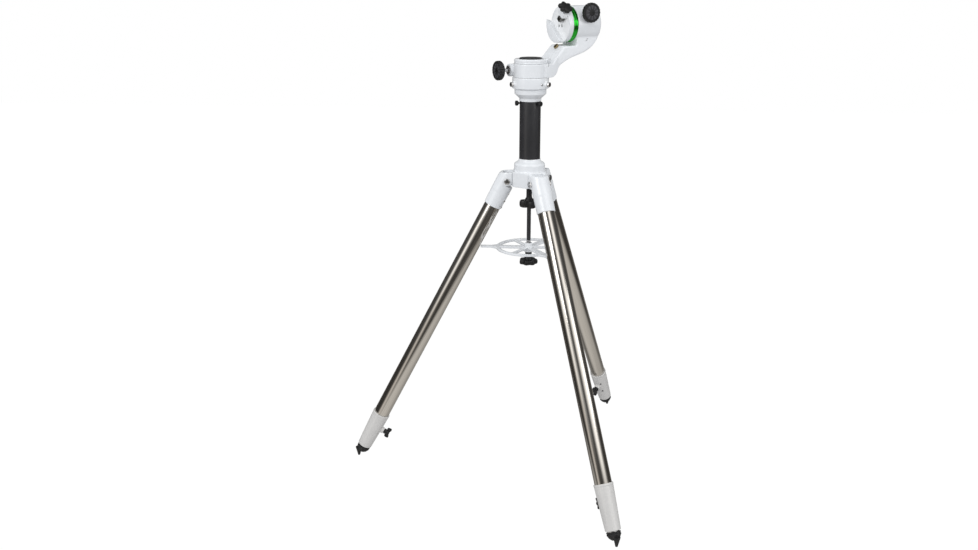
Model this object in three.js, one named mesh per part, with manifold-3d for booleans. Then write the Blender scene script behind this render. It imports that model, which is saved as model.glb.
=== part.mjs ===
// Alt azimuth telescope mount: a single-arm head on an extension pillar and a steel tripod.
// Millimetres, +Z up. The azimuth axis is built on x = y = 0 with the ground at z = 0; the last
// lines move the whole assembly so that the middle of its footprint is the origin.

import * as THREE from 'three';
import { mergeVertices } from 'three/addons/utils/BufferGeometryUtils.js';
import Module from 'manifold-3d';

const wasm = await Module();
wasm.setup();

// ---------------------------------------------------------------- driving dimensions

const GAP = 0.3; // clearance between neighbouring pieces
const ROUND = 30; // facets round the largest turned parts
const FINE = 20; // facets round a middling turned part
const COARSE = 10; // facets round a screw or a small bore
const OVERCUT = 1; // how far a cutting tool runs past the face it cuts

// Tripod
const LEG_ANGLES = [180, 300, 60]; // direction of each leg round the azimuth axis, degrees
const PIVOT_RADIUS = 57.5; // leg hinge bolt, from the azimuth axis
const PIVOT_Z = 832;
const LEG_RADIUS = 62; // middle of the leg tube, where it passes the height of the hinge
const FOOT_RADIUS = 492.5; // point of each foot, from the azimuth axis
const SPLAY = Math.atan2(FOOT_RADIUS - LEG_RADIUS, PIVOT_Z);
const LEG_LENGTH = Math.hypot(FOOT_RADIUS - LEG_RADIUS, PIVOT_Z); // hinge height to foot point

// Leg tubes: 1.75 inch steel outside, a slimmer tube sliding inside
const OUTER_TUBE = { radius: 22.25, wall: 1.4, top: 47, bottom: 796 };
const INNER_TUBE = { radius: 16, wall: 1.5, top: 270, bottom: 900 };
const UPPER_BRACKET = { radius: 25.5, endRadius: 24.4, socketTop: 12.2, end: 78, slot: 15.4, slotDepth: 17 };
const CHEEK = { reach: 17.7, top: 22.5, radius: 13.2 }; // cheeks either side of the hub's tongue
const LOWER_BRACKET = { radius: 24.4, endRadius: 20, start: 780, end: 897, lockAt: 830 };
const LOCK_KNOB = { screw: 4, tip: 16.4, hub: 7.5, face: 31, end: 51, wing: 14.5, wingStart: 37 };
const HINGE_BOLT = { radius: 5, headRadius: 8.5, headHeight: 5.5, nutHeight: 6.5 };

// Hub, pillar and centre rod
const HUB = { bottom: 818, shoulder: 858, top: 891, wall: 46, legWall: 44, collar: 41, neck: 28.5 };
const TONGUE = { halfWidth: 15, bottom: 819, top: 846, radius: 13 };
const PILLAR = { radius: 27.7, bore: 25.4, top: 1041, floor: 14 };
const THUMBSCREW_ANGLES = [-42.5, 77.5, 197.5];
const THUMBSCREW = { z: 1036.4, radius: 2.5, tip: 23.8, shoulder: 33, end: 40, headRadius: 6.6 };
const ROD = { radius: 5.5, bottom: 606, top: 901 };
const RETAINING_KNOB = { bottom: 758, lobeTop: 779, top: 808, neck: 7.6, reach: 26 };
const SPREADER = { z: 643.5, thickness: 6, ring: 88, ringWidth: 10, tip: 130.6, armWidth: 17, boss: 14 };
const SPREADER_KNOB = { bottom: 600, lobeTop: 614, top: 635.2, neck: 9, reach: 25.5 };

// Head
const HEAD_AZIMUTH = 32.5; // direction of the arm at rest, degrees
const BASE_RING = { radius: 47.5, bottom: 1074.5, top: 1102.3 };
const BASE_BOLT_ANGLES = [-28.5, 91.5, 211.5];
const BASE_BOLT = { z: 1086, radius: 3, tip: 42, face: 52, end: 58, headRadius: 6.2, boss: 8 };
const ARM_RING = { radius: 44.5, bottom: 1102.6, top: 1137, cavity: 31, floor: 1109 };
const CAP = { radius: 43, bottom: 1137.3, top: 1149, plateRadius: 29.7, plateTop: 1152 };
const AZIMUTH_WORM = { offset: 35, z: 1119, bossRadius: 16.2, bossEnd: 46, bossStart: -30 };
const AZIMUTH_SHAFT_END = 76;
const AZIMUTH_KNOB_START = 67;
const AZIMUTH_WHEEL = { radius: 28.4, bottom: 1112.5, top: 1125 };
const SPINDLE_RADIUS = 12;
const WHEEL_TEETH = 40;
const WORM = { radius: 6, shaft: 4, halfLength: 13, bore: 6.8 };
const SLOW_KNOB = { radius: 25, thickness: 15, flutes: 20, depth: 1.2 };

// Altitude axis: level, through the azimuth axis, with the saddle facing back over the tripod
const ALTITUDE_Z = 1232.5;
const SADDLE_FACE = 87; // saddle floor, from the azimuth axis
const SADDLE = { radius: 46, thickness: 13.2, tilt: -39, jawHeight: 15, jawFoot: 22.5, jawLip: 18 };
const RELIEF = { width: 3, depth: 1.2, trackStart: 11.5, trackDepth: 0.8 }; // grooves in the saddle floor
const CLUTCH_RING = { radius: 46, bore: 32, start: 100.5, end: 113.4 };
const HOUSING = { radius: 47, start: 113.7, end: 186, cavity: 31, front: 121 };
const SADDLE_SCREW_ANGLES = [10, 130, 250];
const SADDLE_SCREW = { circle: 8, radius: 2, headRadius: 3.4, headHeight: 4, length: 22 };
const ALTITUDE_WORM = { offset: 30, s: 144, bossRadius: 12.5, bossEnd: 47 };
const ALTITUDE_SHAFT_END = 56.6;
const ALTITUDE_KNOB_START = 47.6;
const ALTITUDE_WHEEL = { radius: 23.4, start: 138, end: 150 };
const ARM_HALF_WIDTH = 36;
const SHELF_Z = 1180; // top of the arm under the saddle
// Bolt on the sloping top of the arm, under the saddle.
const STOP_BOLT = { s: 77, z: 1176, lean: -46, radius: 4, length: 14, headRadius: 7.2, headHeight: 5 };
const CLAMP = { axisHeight: 8, bossHalf: 13, bossIn: 31 };
const MOVABLE_JAW = { foot: 17, lip: 12.5, back: 24, half: 6.5, height: 13 };
const STAR_KNOB = { reach: 19.5, start: 50.5, end: 62 };

// ---------------------------------------------------------------- finishes

const finish = (colour, roughness, metalness) => ({ colour, roughness, metalness });
const WHITE_PAINT = finish(0xe6e9ee, 0.32, 0.0);
const GREY_CASTING = finish(0xc9c7c1, 0.4, 0.05);
const BLACK_PAINT = finish(0x2b2b30, 0.35, 0.1);
const BLACK_PLASTIC = finish(0x1c1c1f, 0.6, 0.0);
const BLACK_RUBBER = finish(0x161616, 0.85, 0.0);
const STAINLESS = finish(0x9a968e, 0.22, 1.0);
const BRIGHT_STEEL = finish(0xc4c4c6, 0.25, 1.0);
const BRONZE = finish(0xa8813f, 0.35, 1.0);
const GREEN_ANODISED = finish(0x2f9e2f, 0.25, 0.9);

// ---------------------------------------------------------------- solid modelling helpers

const radians = THREE.MathUtils.degToRad;

function toSolid(geometry) {
  const bare = geometry.clone();
  bare.deleteAttribute('normal');
  bare.deleteAttribute('uv');
  const welded = mergeVertices(bare, 1e-3);
  const index = welded.index.array;
  const triangles = [];
  for (let i = 0; i < index.length; i += 3) {
    const [a, b, c] = [index[i], index[i + 1], index[i + 2]];
    if (a !== b && b !== c && c !== a) triangles.push(a, b, c);
  }
  return new wasm.Manifold(new wasm.Mesh({
    numProp: 3,
    vertProperties: new Float32Array(welded.attributes.position.array),
    triVerts: new Uint32Array(triangles),
  }));
}

function toGeometry(solid) {
  const mesh = solid.getMesh();
  const geometry = new THREE.BufferGeometry();
  geometry.setAttribute('position', new THREE.BufferAttribute(new Float32Array(mesh.vertProperties), 3));
  geometry.setIndex(new THREE.BufferAttribute(new Uint32Array(mesh.triVerts), 1));
  geometry.computeVertexNormals();
  return geometry;
}

const join = (...geometries) => toGeometry(geometries.map(toSolid).reduce((sum, s) => sum.add(s)));

function cut(body, ...tools) {
  const left = tools.map(toSolid).reduce((rest, tool) => rest.subtract(tool), toSolid(body));
  return toGeometry(left);
}

const common = (a, b) => toGeometry(toSolid(a).intersect(toSolid(b)));

// A round bar along +Z from z0 to z1, optionally tapering to a second radius at z1.
function bar(radius, z0, z1, facets = FINE, endRadius = radius) {
  const geometry = new THREE.CylinderGeometry(endRadius, radius, z1 - z0, facets);
  return geometry.rotateX(Math.PI / 2).translate(0, 0, (z0 + z1) / 2);
}

// A turned body about Z from [radius, z] points that run up the outside and back down.
function turned(points, facets = FINE) {
  const profile = points.map(([radius, z]) => new THREE.Vector2(radius, z));
  return new THREE.LatheGeometry(profile, facets).rotateX(Math.PI / 2);
}

function tube(outer, inner, z0, z1, facets = FINE) {
  return turned([[inner, z0], [outer, z0], [outer, z1], [inner, z1], [inner, z0]], facets);
}

function block(x0, x1, y0, y1, z0, z1) {
  const geometry = new THREE.BoxGeometry(x1 - x0, y1 - y0, z1 - z0);
  return geometry.translate((x0 + x1) / 2, (y0 + y1) / 2, (z0 + z1) / 2);
}

const alongX = (geometry) => geometry.rotateY(Math.PI / 2); // +Z becomes +X
const alongY = (geometry) => geometry.rotateX(-Math.PI / 2); // +Z becomes +Y

// A plate with the given outline in x, y, from z0 to z1.
function plate(shape, z0, z1, curveSegments = 8) {
  const depth = z1 - z0;
  const geometry = new THREE.ExtrudeGeometry(shape, { depth, bevelEnabled: false, curveSegments });
  return geometry.translate(0, 0, z0);
}

// A prism along X, from -half to half, with the given outline in y, z.
function prismAlongX(points, half) {
  return plate(outline(points), -half, half).rotateX(Math.PI / 2).rotateZ(Math.PI / 2);
}

// A plate whose outline lies in the x, z plane, centred on y = 0, with chamfered edges.
function sidePlate(shape, width, chamfer, curveSegments = 8) {
  const geometry = new THREE.ExtrudeGeometry(shape, {
    depth: width - 2 * chamfer,
    bevelEnabled: chamfer > 0,
    bevelThickness: chamfer,
    bevelSize: chamfer,
    bevelOffset: -chamfer,
    bevelSegments: 1,
    curveSegments,
  });
  return geometry.translate(0, 0, chamfer).rotateX(Math.PI / 2).translate(0, width / 2, 0);
}

// A closed outline from [x, y] points.
function outline(points) {
  return new THREE.Shape(points.map(([x, y]) => new THREE.Vector2(x, y)));
}

// A round outline whose radius waves between two values, for grips and star knobs.
function lobedOutline(inner, outer, lobes, pointsPerLobe) {
  const points = [];
  for (let i = 0; i < lobes * pointsPerLobe; i += 1) {
    const angle = (i / pointsPerLobe / lobes) * 2 * Math.PI;
    const wave = (1 + Math.cos(angle * lobes)) / 2;
    const radius = inner + (outer - inner) * wave;
    points.push([radius * Math.cos(angle), radius * Math.sin(angle)]);
  }
  return outline(points);
}

function hexagon(radius) {
  return lobedOutline(radius, radius, 6, 1);
}

function piece(name, geometry, look) {
  const material = new THREE.MeshStandardMaterial({
    color: look.colour,
    roughness: look.roughness,
    metalness: look.metalness,
  });
  const mesh = new THREE.Mesh(geometry, material);
  mesh.name = name;
  return mesh;
}

function group(...children) {
  const made = new THREE.Group();
  made.add(...children);
  return made;
}

// ---------------------------------------------------------------- tripod hub and pillar

// Six-sided plan: wide walls between the legs, narrower ones facing them.
function hubPlan() {
  const corners = [];
  for (let side = 0; side < 6; side += 1) {
    const angle = radians(side * 60);
    const here = side % 2 === 0 ? HUB.wall : HUB.legWall;
    const next = side % 2 === 0 ? HUB.legWall : HUB.wall;
    const along = (next - here * Math.cos(radians(60))) / Math.sin(radians(60));
    corners.push([
      here * Math.cos(angle) - along * Math.sin(angle),
      here * Math.sin(angle) + along * Math.cos(angle),
    ]);
  }
  return outline(corners);
}

function hubTongue(angle) {
  const { halfWidth, bottom, top, radius } = TONGUE;
  const web = block(HUB.legWall - 10, PIVOT_RADIUS, -halfWidth, halfWidth, bottom, top);
  const eye = alongY(bar(radius, -halfWidth, halfWidth, FINE)).translate(PIVOT_RADIUS, 0, PIVOT_Z);
  const bore = alongY(bar(HINGE_BOLT.radius + GAP, -halfWidth - OVERCUT, halfWidth + OVERCUT, COARSE));
  return cut(join(web, eye), bore.translate(PIVOT_RADIUS, 0, PIVOT_Z)).rotateZ(radians(angle));
}

function makeTripodHub() {
  const body = plate(hubPlan(), HUB.bottom, HUB.shoulder);
  const collar = turned([
    [0, HUB.shoulder - 8],
    [HUB.collar, HUB.shoulder - 8],
    [HUB.collar, HUB.shoulder + 18],
    [HUB.collar - 3, HUB.shoulder + 22],
    [HUB.neck + 1.5, HUB.top - 4],
    [HUB.neck, HUB.top],
    [0, HUB.top],
  ]);
  const hollow = bar(HUB.collar - 9, HUB.bottom - OVERCUT, HUB.shoulder - 12);
  const rodBore = bar(ROD.radius + 0.6, HUB.bottom - OVERCUT, HUB.top + OVERCUT, COARSE);
  const tongues = LEG_ANGLES.map(hubTongue);
  return piece('tripod_hub', cut(join(body, collar, ...tongues), hollow, rodBore), WHITE_PAINT);
}

function makePillar() {
  const bottom = HUB.top + GAP;
  const shell = turned([
    [0, bottom],
    [PILLAR.radius, bottom],
    [PILLAR.radius, PILLAR.top],
    [PILLAR.bore, PILLAR.top],
    [PILLAR.bore, bottom + PILLAR.floor],
    [0, bottom + PILLAR.floor],
  ]);
  const thread = bar(ROD.radius + GAP, bottom - OVERCUT, ROD.top + 2, COARSE);
  const screwHoles = THUMBSCREW_ANGLES.map((angle) => alongX(bar(THUMBSCREW.radius + GAP, 20, 30, COARSE))
    .rotateZ(radians(angle)).translate(0, 0, THUMBSCREW.z));
  return piece('extension_pillar', cut(shell, thread, ...screwHoles), BLACK_PAINT);
}

function makeThumbscrew(angle, index) {
  const shank = bar(THUMBSCREW.radius, THUMBSCREW.tip, THUMBSCREW.shoulder + OVERCUT, COARSE);
  const grip = plate(
    lobedOutline(THUMBSCREW.headRadius - 0.6, THUMBSCREW.headRadius, 10, 2),
    THUMBSCREW.shoulder,
    THUMBSCREW.end,
  );
  const mesh = piece(`pillar_thumbscrew_${index + 1}`, alongX(join(shank, grip)), BLACK_PLASTIC);
  mesh.position.set(0, 0, THUMBSCREW.z);
  const turn = group(mesh);
  turn.rotation.z = radians(angle);
  return turn;
}

// ---------------------------------------------------------------- centre rod, knobs and spreader

function makeRetainingRod() {
  const rod = bar(ROD.radius, ROD.bottom, ROD.top, COARSE);
  return piece('retaining_rod', rod, BLACK_PAINT);
}

// A hand knob on the centre rod: a lobed grip below a round neck, bored for the rod.
function rodKnob(size, lobes, boreTop) {
  const shape = lobedOutline(size.reach * 0.55, size.reach, lobes, 6);
  const grip = plate(shape, size.bottom, size.lobeTop).rotateZ(Math.PI);
  const neck = turned([
    [0, size.lobeTop - 2],
    [size.neck + 4, size.lobeTop - 2],
    [size.neck + 3, size.lobeTop + 2],
    [size.neck, size.lobeTop + 6],
    [size.neck, size.top],
    [0, size.top],
  ]);
  const bore = bar(ROD.radius + GAP, boreTop, size.top + OVERCUT, COARSE);
  return cut(join(grip, neck), bore);
}

function makeRetainingKnob() {
  const geometry = rodKnob(RETAINING_KNOB, 3, RETAINING_KNOB.bottom - OVERCUT);
  return piece('retaining_knob', geometry, BLACK_PLASTIC);
}

function makeSpreaderKnob() {
  const size = SPREADER_KNOB;
  const grip = plate(lobedOutline(size.reach * 0.86, size.reach, 7, 4), size.bottom, size.lobeTop);
  const neck = bar(size.neck + 3, size.lobeTop - 2, size.top, FINE, size.neck);
  const bore = bar(ROD.radius + GAP, ROD.bottom - 1, size.top + OVERCUT, COARSE);
  return piece('spreader_knob', cut(join(grip, neck), bore), BLACK_PLASTIC);
}

// Flat arm along +X from the boss to the tip, wider in the middle.
function spreaderArm(angle) {
  const half = SPREADER.armWidth / 2;
  const arm = plate(outline([
    [0, -half],
    [SPREADER.ring, -half],
    [SPREADER.ring + 14, -half * 0.62],
    [SPREADER.tip, -half * 0.62],
    [SPREADER.tip, half * 0.62],
    [SPREADER.ring + 14, half * 0.62],
    [SPREADER.ring, half],
    [0, half],
  ]), SPREADER.z, SPREADER.z + SPREADER.thickness);
  return arm.rotateZ(radians(angle));
}

// Web that flares each arm into the ring on both sides.
function spreaderFlare(angle) {
  const flare = plate(outline([
    [SPREADER.ring - SPREADER.ringWidth, -26],
    [SPREADER.ring + 16, -3],
    [SPREADER.ring + 16, 3],
    [SPREADER.ring - SPREADER.ringWidth, 26],
  ]), SPREADER.z, SPREADER.z + SPREADER.thickness);
  return flare.rotateZ(radians(angle));
}

function makeSpreader() {
  const { ring, ringWidth, z, thickness, boss } = SPREADER;
  const rim = tube(ring, ring - ringWidth, z, z + thickness);
  const hub = bar(boss, z - 8, z + 16, FINE, boss - 4);
  const arms = LEG_ANGLES.map(spreaderArm);
  const flares = LEG_ANGLES.map(spreaderFlare);
  const spokes = LEG_ANGLES.map((angle) => block(0, ring - 2, -4.5, 4.5, z, z + thickness)
    .rotateZ(radians(angle + 180)));
  const bore = bar(ROD.radius + 0.4, z - 8 - OVERCUT, z + 16 + OVERCUT, COARSE);
  return piece('spreader', cut(join(rim, hub, ...arms, ...flares, ...spokes), bore), WHITE_PAINT);
}

// ---------------------------------------------------------------- legs
// Each leg is built hanging straight down from its hinge: the tube runs along -Z, and -X faces
// the centre rod. A group then tilts it out to the splay angle and turns it to its place.

// Turns a place given with the leg spread into the hanging leg's own x and z.
function hung(x, z) {
  return [x * Math.cos(SPLAY) + z * Math.sin(SPLAY), z * Math.cos(SPLAY) - x * Math.sin(SPLAY)];
}

// Side view of the cheeks: level on top with the leg spread, upright beside the hub's wall, and
// round below the hinge bolt so that the leg can fold.
function upperBracketProfile() {
  const { radius } = UPPER_BRACKET;
  const pivot = hung(PIVOT_RADIUS - LEG_RADIUS, 0);
  const shape = new THREE.Shape();
  shape.moveTo(...hung(-CHEEK.reach, CHEEK.top));
  shape.lineTo(...hung(-CHEEK.reach, 0));
  shape.absarc(...pivot, CHEEK.radius, Math.PI - SPLAY, 1.5 * Math.PI - SPLAY);
  shape.lineTo(...hung(5, -CHEEK.radius));
  shape.lineTo(0, -34);
  shape.lineTo(radius, -34);
  shape.lineTo(radius, 8);
  shape.quadraticCurveTo(radius, 12, ...hung(11, CHEEK.top));
  return shape;
}

function makeUpperBracket(name) {
  const { radius, endRadius, socketTop, end, slot, slotDepth } = UPPER_BRACKET;
  const flat = sidePlate(upperBracketProfile(), 2 * radius, 0, 6);
  // Round towards the outside of the tripod, straight beside the hub.
  const round = bar(radius, -40, 60, ROUND);
  const straight = block(-60, 0, -radius, radius, -40, 60);
  const cheeks = common(flat, join(round, straight));
  const socket = bar(endRadius, -end, -socketTop, ROUND, radius);
  const hubSlot = block(-60, slotDepth, -slot, slot, -socketTop, 60);
  const tubeBore = bar(OUTER_TUBE.radius + GAP, -end - OVERCUT, -OUTER_TUBE.top + GAP);
  const [boltX, boltZ] = hung(PIVOT_RADIUS - LEG_RADIUS, 0);
  const boltBore = alongY(bar(HINGE_BOLT.radius + GAP, -2 * radius, 2 * radius, COARSE));
  boltBore.translate(boltX, 0, boltZ);
  return piece(name, cut(join(cheeks, socket), hubSlot, tubeBore, boltBore), WHITE_PAINT);
}

function makeLowerBracket(name) {
  const { radius, endRadius, start, end, lockAt } = LOWER_BRACKET;
  const shell = turned([
    [0, -end],
    [endRadius, -end],
    [endRadius + 1.4, -end + 30],
    [radius, -start - 22],
    [radius, -start - 6],
    [radius + 0.8, -start - 4],
    [radius + 0.8, -start - 1],
    [radius, -start],
    [0, -start],
  ]);
  const lockBoss = alongX(bar(9, -30, -18)).translate(0, 0, -lockAt);
  const tubeBore = bar(OUTER_TUBE.radius + GAP, -OUTER_TUBE.bottom - GAP, -start + OVERCUT);
  const legBore = bar(INNER_TUBE.radius + GAP, -end - OVERCUT, -OUTER_TUBE.bottom + OVERCUT);
  const lockBore = alongX(bar(LOCK_KNOB.screw + GAP, -40, 0, COARSE)).translate(0, 0, -lockAt);
  return piece(name, cut(join(shell, lockBoss), tubeBore, legBore, lockBore), GREY_CASTING);
}

function makeLockKnob(name) {
  const { screw, tip, hub, face, end, wing, wingStart } = LOCK_KNOB;
  const shank = bar(screw, tip, face + OVERCUT, COARSE);
  const boss = bar(hub, face, end - 3);
  const wings = sidePlate(outline([
    [-wing, wingStart + 4],
    [-wing + 3, wingStart],
    [wing - 3, wingStart],
    [wing, wingStart + 4],
    [wing, end - 2],
    [wing - 3, end],
    [5, end - 4],
    [-5, end - 4],
    [-wing + 3, end],
    [-wing, end - 2],
  ]), 9, 1);
  // The wings lie along the leg; the knob's own axis points at the centre rod.
  const geometry = join(shank, boss, wings).rotateY(-Math.PI / 2);
  return piece(name, geometry.translate(0, 0, -LOWER_BRACKET.lockAt), BLACK_PLASTIC);
}

function makeFoot(name) {
  const top = INNER_TUBE.bottom + GAP;
  const cap = turned([
    [0, -LEG_LENGTH + 16],
    [9, -LEG_LENGTH + 17],
    [15, -LEG_LENGTH + 24],
    [18.5, -LEG_LENGTH + 30],
    [18.5, -top],
    [13.4, -top],
    [13.4, -top + 22],
    [0, -top + 22],
  ]);
  // The spike leans back to point straight down at the ground.
  const spike = bar(3, 0, 26, COARSE, 9).rotateY(SPLAY).translate(0, 0, -LEG_LENGTH);
  return piece(name, join(cap, spike), BLACK_RUBBER);
}

function makeLeg(angle, index) {
  const id = index + 1;
  const half = UPPER_BRACKET.radius + GAP;
  const { headRadius, headHeight, nutHeight } = HINGE_BOLT;
  const outer = tube(
    OUTER_TUBE.radius,
    OUTER_TUBE.radius - OUTER_TUBE.wall,
    -OUTER_TUBE.bottom,
    -OUTER_TUBE.top,
  );
  const inner = tube(
    INNER_TUBE.radius,
    INNER_TUBE.radius - INNER_TUBE.wall,
    -INNER_TUBE.bottom,
    -INNER_TUBE.top,
    28,
  );
  const boltShank = bar(HINGE_BOLT.radius, -half - nutHeight, half + OVERCUT, COARSE);
  const boltHead = plate(hexagon(headRadius), half, half + headHeight);
  const nut = cut(
    plate(hexagon(headRadius), -half - nutHeight + 1.5, -half),
    bar(HINGE_BOLT.radius + GAP, -half - nutHeight, 0, COARSE),
  );
  const tilted = group(
    makeUpperBracket(`leg_${id}_upper_bracket`),
    piece(`leg_${id}_outer_tube`, outer, STAINLESS),
    makeLowerBracket(`leg_${id}_lower_bracket`),
    piece(`leg_${id}_inner_tube`, inner, BRIGHT_STEEL),
    makeFoot(`leg_${id}_foot`),
    makeLockKnob(`leg_${id}_lock_knob`),
  );
  tilted.rotation.y = -SPLAY;
  tilted.position.set(LEG_RADIUS, 0, PIVOT_Z);
  const hinge = group(
    piece(`leg_${id}_hinge_bolt`, alongY(join(boltShank, boltHead)), BRIGHT_STEEL),
    piece(`leg_${id}_hinge_nut`, alongY(nut), BRIGHT_STEEL),
  );
  hinge.position.set(PIVOT_RADIUS, 0, PIVOT_Z);
  const turn = group(tilted, hinge);
  turn.rotation.z = radians(angle);
  return turn;
}

// ---------------------------------------------------------------- azimuth base

function makeHeadBase() {
  const neck = PILLAR.top + GAP;
  const spigotRadius = PILLAR.bore - GAP;
  const grooveRadius = THUMBSCREW.tip - 0.8;
  const body = turned([
    [0, 1016],
    [spigotRadius - 1, 1016],
    [spigotRadius, 1018],
    [spigotRadius, 1031],
    [grooveRadius, 1032.6],
    [grooveRadius, 1039.8],
    [spigotRadius, 1040.6],
    [spigotRadius, neck],
    [28.6, neck],
    [28.6, 1048],
    [30, 1050],
    [41.4, 1060.5],
    [41.4, 1071.5],
    [39.6, 1073],
    [39.6, BASE_RING.bottom],
    [BASE_RING.radius - 1, BASE_RING.bottom],
    [BASE_RING.radius, BASE_RING.bottom + 1.5],
    [BASE_RING.radius, BASE_RING.top - 1.5],
    [BASE_RING.radius - 1.2, BASE_RING.top],
    [0, BASE_RING.top],
  ], ROUND);
  const bosses = BASE_BOLT_ANGLES.map((angle) => alongX(bar(BASE_BOLT.boss, 38, BASE_BOLT.face - GAP))
    .rotateZ(radians(angle)).translate(0, 0, BASE_BOLT.z));
  const bores = BASE_BOLT_ANGLES.map((angle) => alongX(bar(BASE_BOLT.radius + GAP, 41, 60, COARSE))
    .rotateZ(radians(angle)).translate(0, 0, BASE_BOLT.z));
  const hollow = bar(18, 1016 - OVERCUT, 1060);
  const spindleSeat = bar(SPINDLE_RADIUS + GAP, 1070, BASE_RING.top + OVERCUT);
  return piece('azimuth_base', cut(join(body, ...bosses), ...bores, hollow, spindleSeat), WHITE_PAINT);
}

function makeBaseBolt(angle, index) {
  const shank = bar(BASE_BOLT.radius, BASE_BOLT.tip, BASE_BOLT.face + OVERCUT, COARSE);
  const head = plate(hexagon(BASE_BOLT.headRadius), BASE_BOLT.face, BASE_BOLT.end);
  const mesh = piece(`azimuth_base_bolt_${index + 1}`, alongX(join(shank, head)), BRIGHT_STEEL);
  mesh.position.set(0, 0, BASE_BOLT.z);
  const turn = group(mesh);
  turn.rotation.z = radians(angle);
  return turn;
}

// ---------------------------------------------------------------- azimuth drive

// Teeth round a worm wheel about Z, with a bore for its spindle.
function wormWheel(radius, z0, z1, teeth) {
  const blank = plate(lobedOutline(radius - 1.2, radius, teeth, 2), z0, z1);
  return cut(blank, bar(SPINDLE_RADIUS + GAP, z0 - OVERCUT, z1 + OVERCUT));
}

function spindleNut(z0, z1) {
  const bore = bar(SPINDLE_RADIUS + GAP, z0 - OVERCUT, z1 + OVERCUT);
  return cut(plate(hexagon(19), z0, z1), bore);
}

// Worm and shaft along +Z: plain grooves stand for the thread.
function wormShaft(end) {
  const { radius, shaft, halfLength } = WORM;
  const points = [[0, -halfLength - 6], [shaft, -halfLength - 6], [shaft, -halfLength]];
  const grooves = 4;
  const pitch = (2 * halfLength) / grooves;
  for (let i = 0; i < grooves; i += 1) {
    const start = -halfLength + i * pitch;
    points.push([radius - 1.4, start + pitch * 0.1]);
    points.push([radius, start + pitch * 0.35]);
    points.push([radius, start + pitch * 0.65]);
    points.push([radius - 1.4, start + pitch * 0.9]);
  }
  points.push([shaft, halfLength], [shaft, end], [0, end]);
  return turned(points, COARSE);
}

// Round hand knob along +Z with a fluted rim, a dished face and a blind bore for the shaft.
function slowMotionKnob(start) {
  const { radius, thickness, flutes, depth } = SLOW_KNOB;
  const grip = plate(lobedOutline(radius - depth, radius, flutes, 3), start, start + thickness);
  const dish = bar(radius - 7, start + thickness - 2, start + thickness + OVERCUT, FINE, radius - 5);
  const bore = bar(WORM.shaft + GAP, start - OVERCUT, start + 10, COARSE);
  return cut(grip, dish, bore);
}

function azimuthDriveParts() {
  const wheel = wormWheel(AZIMUTH_WHEEL.radius, AZIMUTH_WHEEL.bottom, AZIMUTH_WHEEL.top, WHEEL_TEETH);
  const spindle = turned([
    [0, 1071],
    [SPINDLE_RADIUS, 1071],
    [SPINDLE_RADIUS, 1133],
    [SPINDLE_RADIUS - 1, 1134],
    [0, 1134],
  ]);
  const worm = piece('azimuth_worm', wormShaft(AZIMUTH_SHAFT_END), BRIGHT_STEEL);
  const knob = piece('azimuth_slow_motion_knob', slowMotionKnob(AZIMUTH_KNOB_START), BLACK_PLASTIC);
  const wormLine = group(worm, knob);
  wormLine.position.set(0, AZIMUTH_WORM.offset, AZIMUTH_WORM.z);
  wormLine.rotation.y = -Math.PI / 2; // the shaft runs out along -X, away from the arm
  return [
    piece('azimuth_spindle', spindle, BRIGHT_STEEL),
    piece('azimuth_worm_wheel', wheel, BRONZE),
    piece('azimuth_spindle_nut', spindleNut(1125.5, 1131.5), BRIGHT_STEEL),
    wormLine,
  ];
}

// ---------------------------------------------------------------- arm

// Side view of the swan-neck arm, in distance from the azimuth axis and height.
function armProfile() {
  const shape = new THREE.Shape();
  shape.moveTo(20, ARM_RING.bottom);
  shape.lineTo(38, ARM_RING.bottom);
  shape.bezierCurveTo(51, ARM_RING.bottom, 58, 1112, 61, 1123);
  shape.bezierCurveTo(64, 1132, 74, 1137.5, 98, 1149);
  shape.lineTo(138, 1162);
  shape.bezierCurveTo(154, 1168, 171, 1180, 180, 1198);
  shape.lineTo(HOUSING.end - 3, 1210);
  shape.lineTo(HOUSING.end - 3, ALTITUDE_Z);
  shape.lineTo(HOUSING.start + 8, ALTITUDE_Z);
  shape.lineTo(HOUSING.start + 2, SHELF_Z);
  shape.lineTo(81, SHELF_Z);
  shape.lineTo(63, 1160.5);
  shape.bezierCurveTo(58, 1152, 50, 1146, 45, ARM_RING.top);
  shape.lineTo(20, ARM_RING.top);
  return shape;
}

// Root of the arm: as wide as the ring where it leaves it, narrowing towards the neck.
function armRoot() {
  const { radius, bottom } = ARM_RING;
  const side = [[0, radius], [16, radius - 1.5], [38, radius - 4.5], [58, 37], [80, 30]];
  const mirrored = side.map(([s, half]) => [s, -half]).reverse();
  const plan = plate(outline([...side, ...mirrored]), bottom, SHELF_Z + OVERCUT);
  return common(sidePlate(armProfile(), 2 * radius, 3, 6), plan);
}

function altitudeHousing() {
  const { radius, start, end } = HOUSING;
  return alongX(turned([
    [0, start],
    [radius, start],
    [radius, end - 9],
    [radius - 1.5, end - 4.5],
    [radius - 4.5, end - 1.5],
    [radius - 9, end],
    [0, end],
  ], ROUND)).translate(0, 0, ALTITUDE_Z);
}

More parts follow.
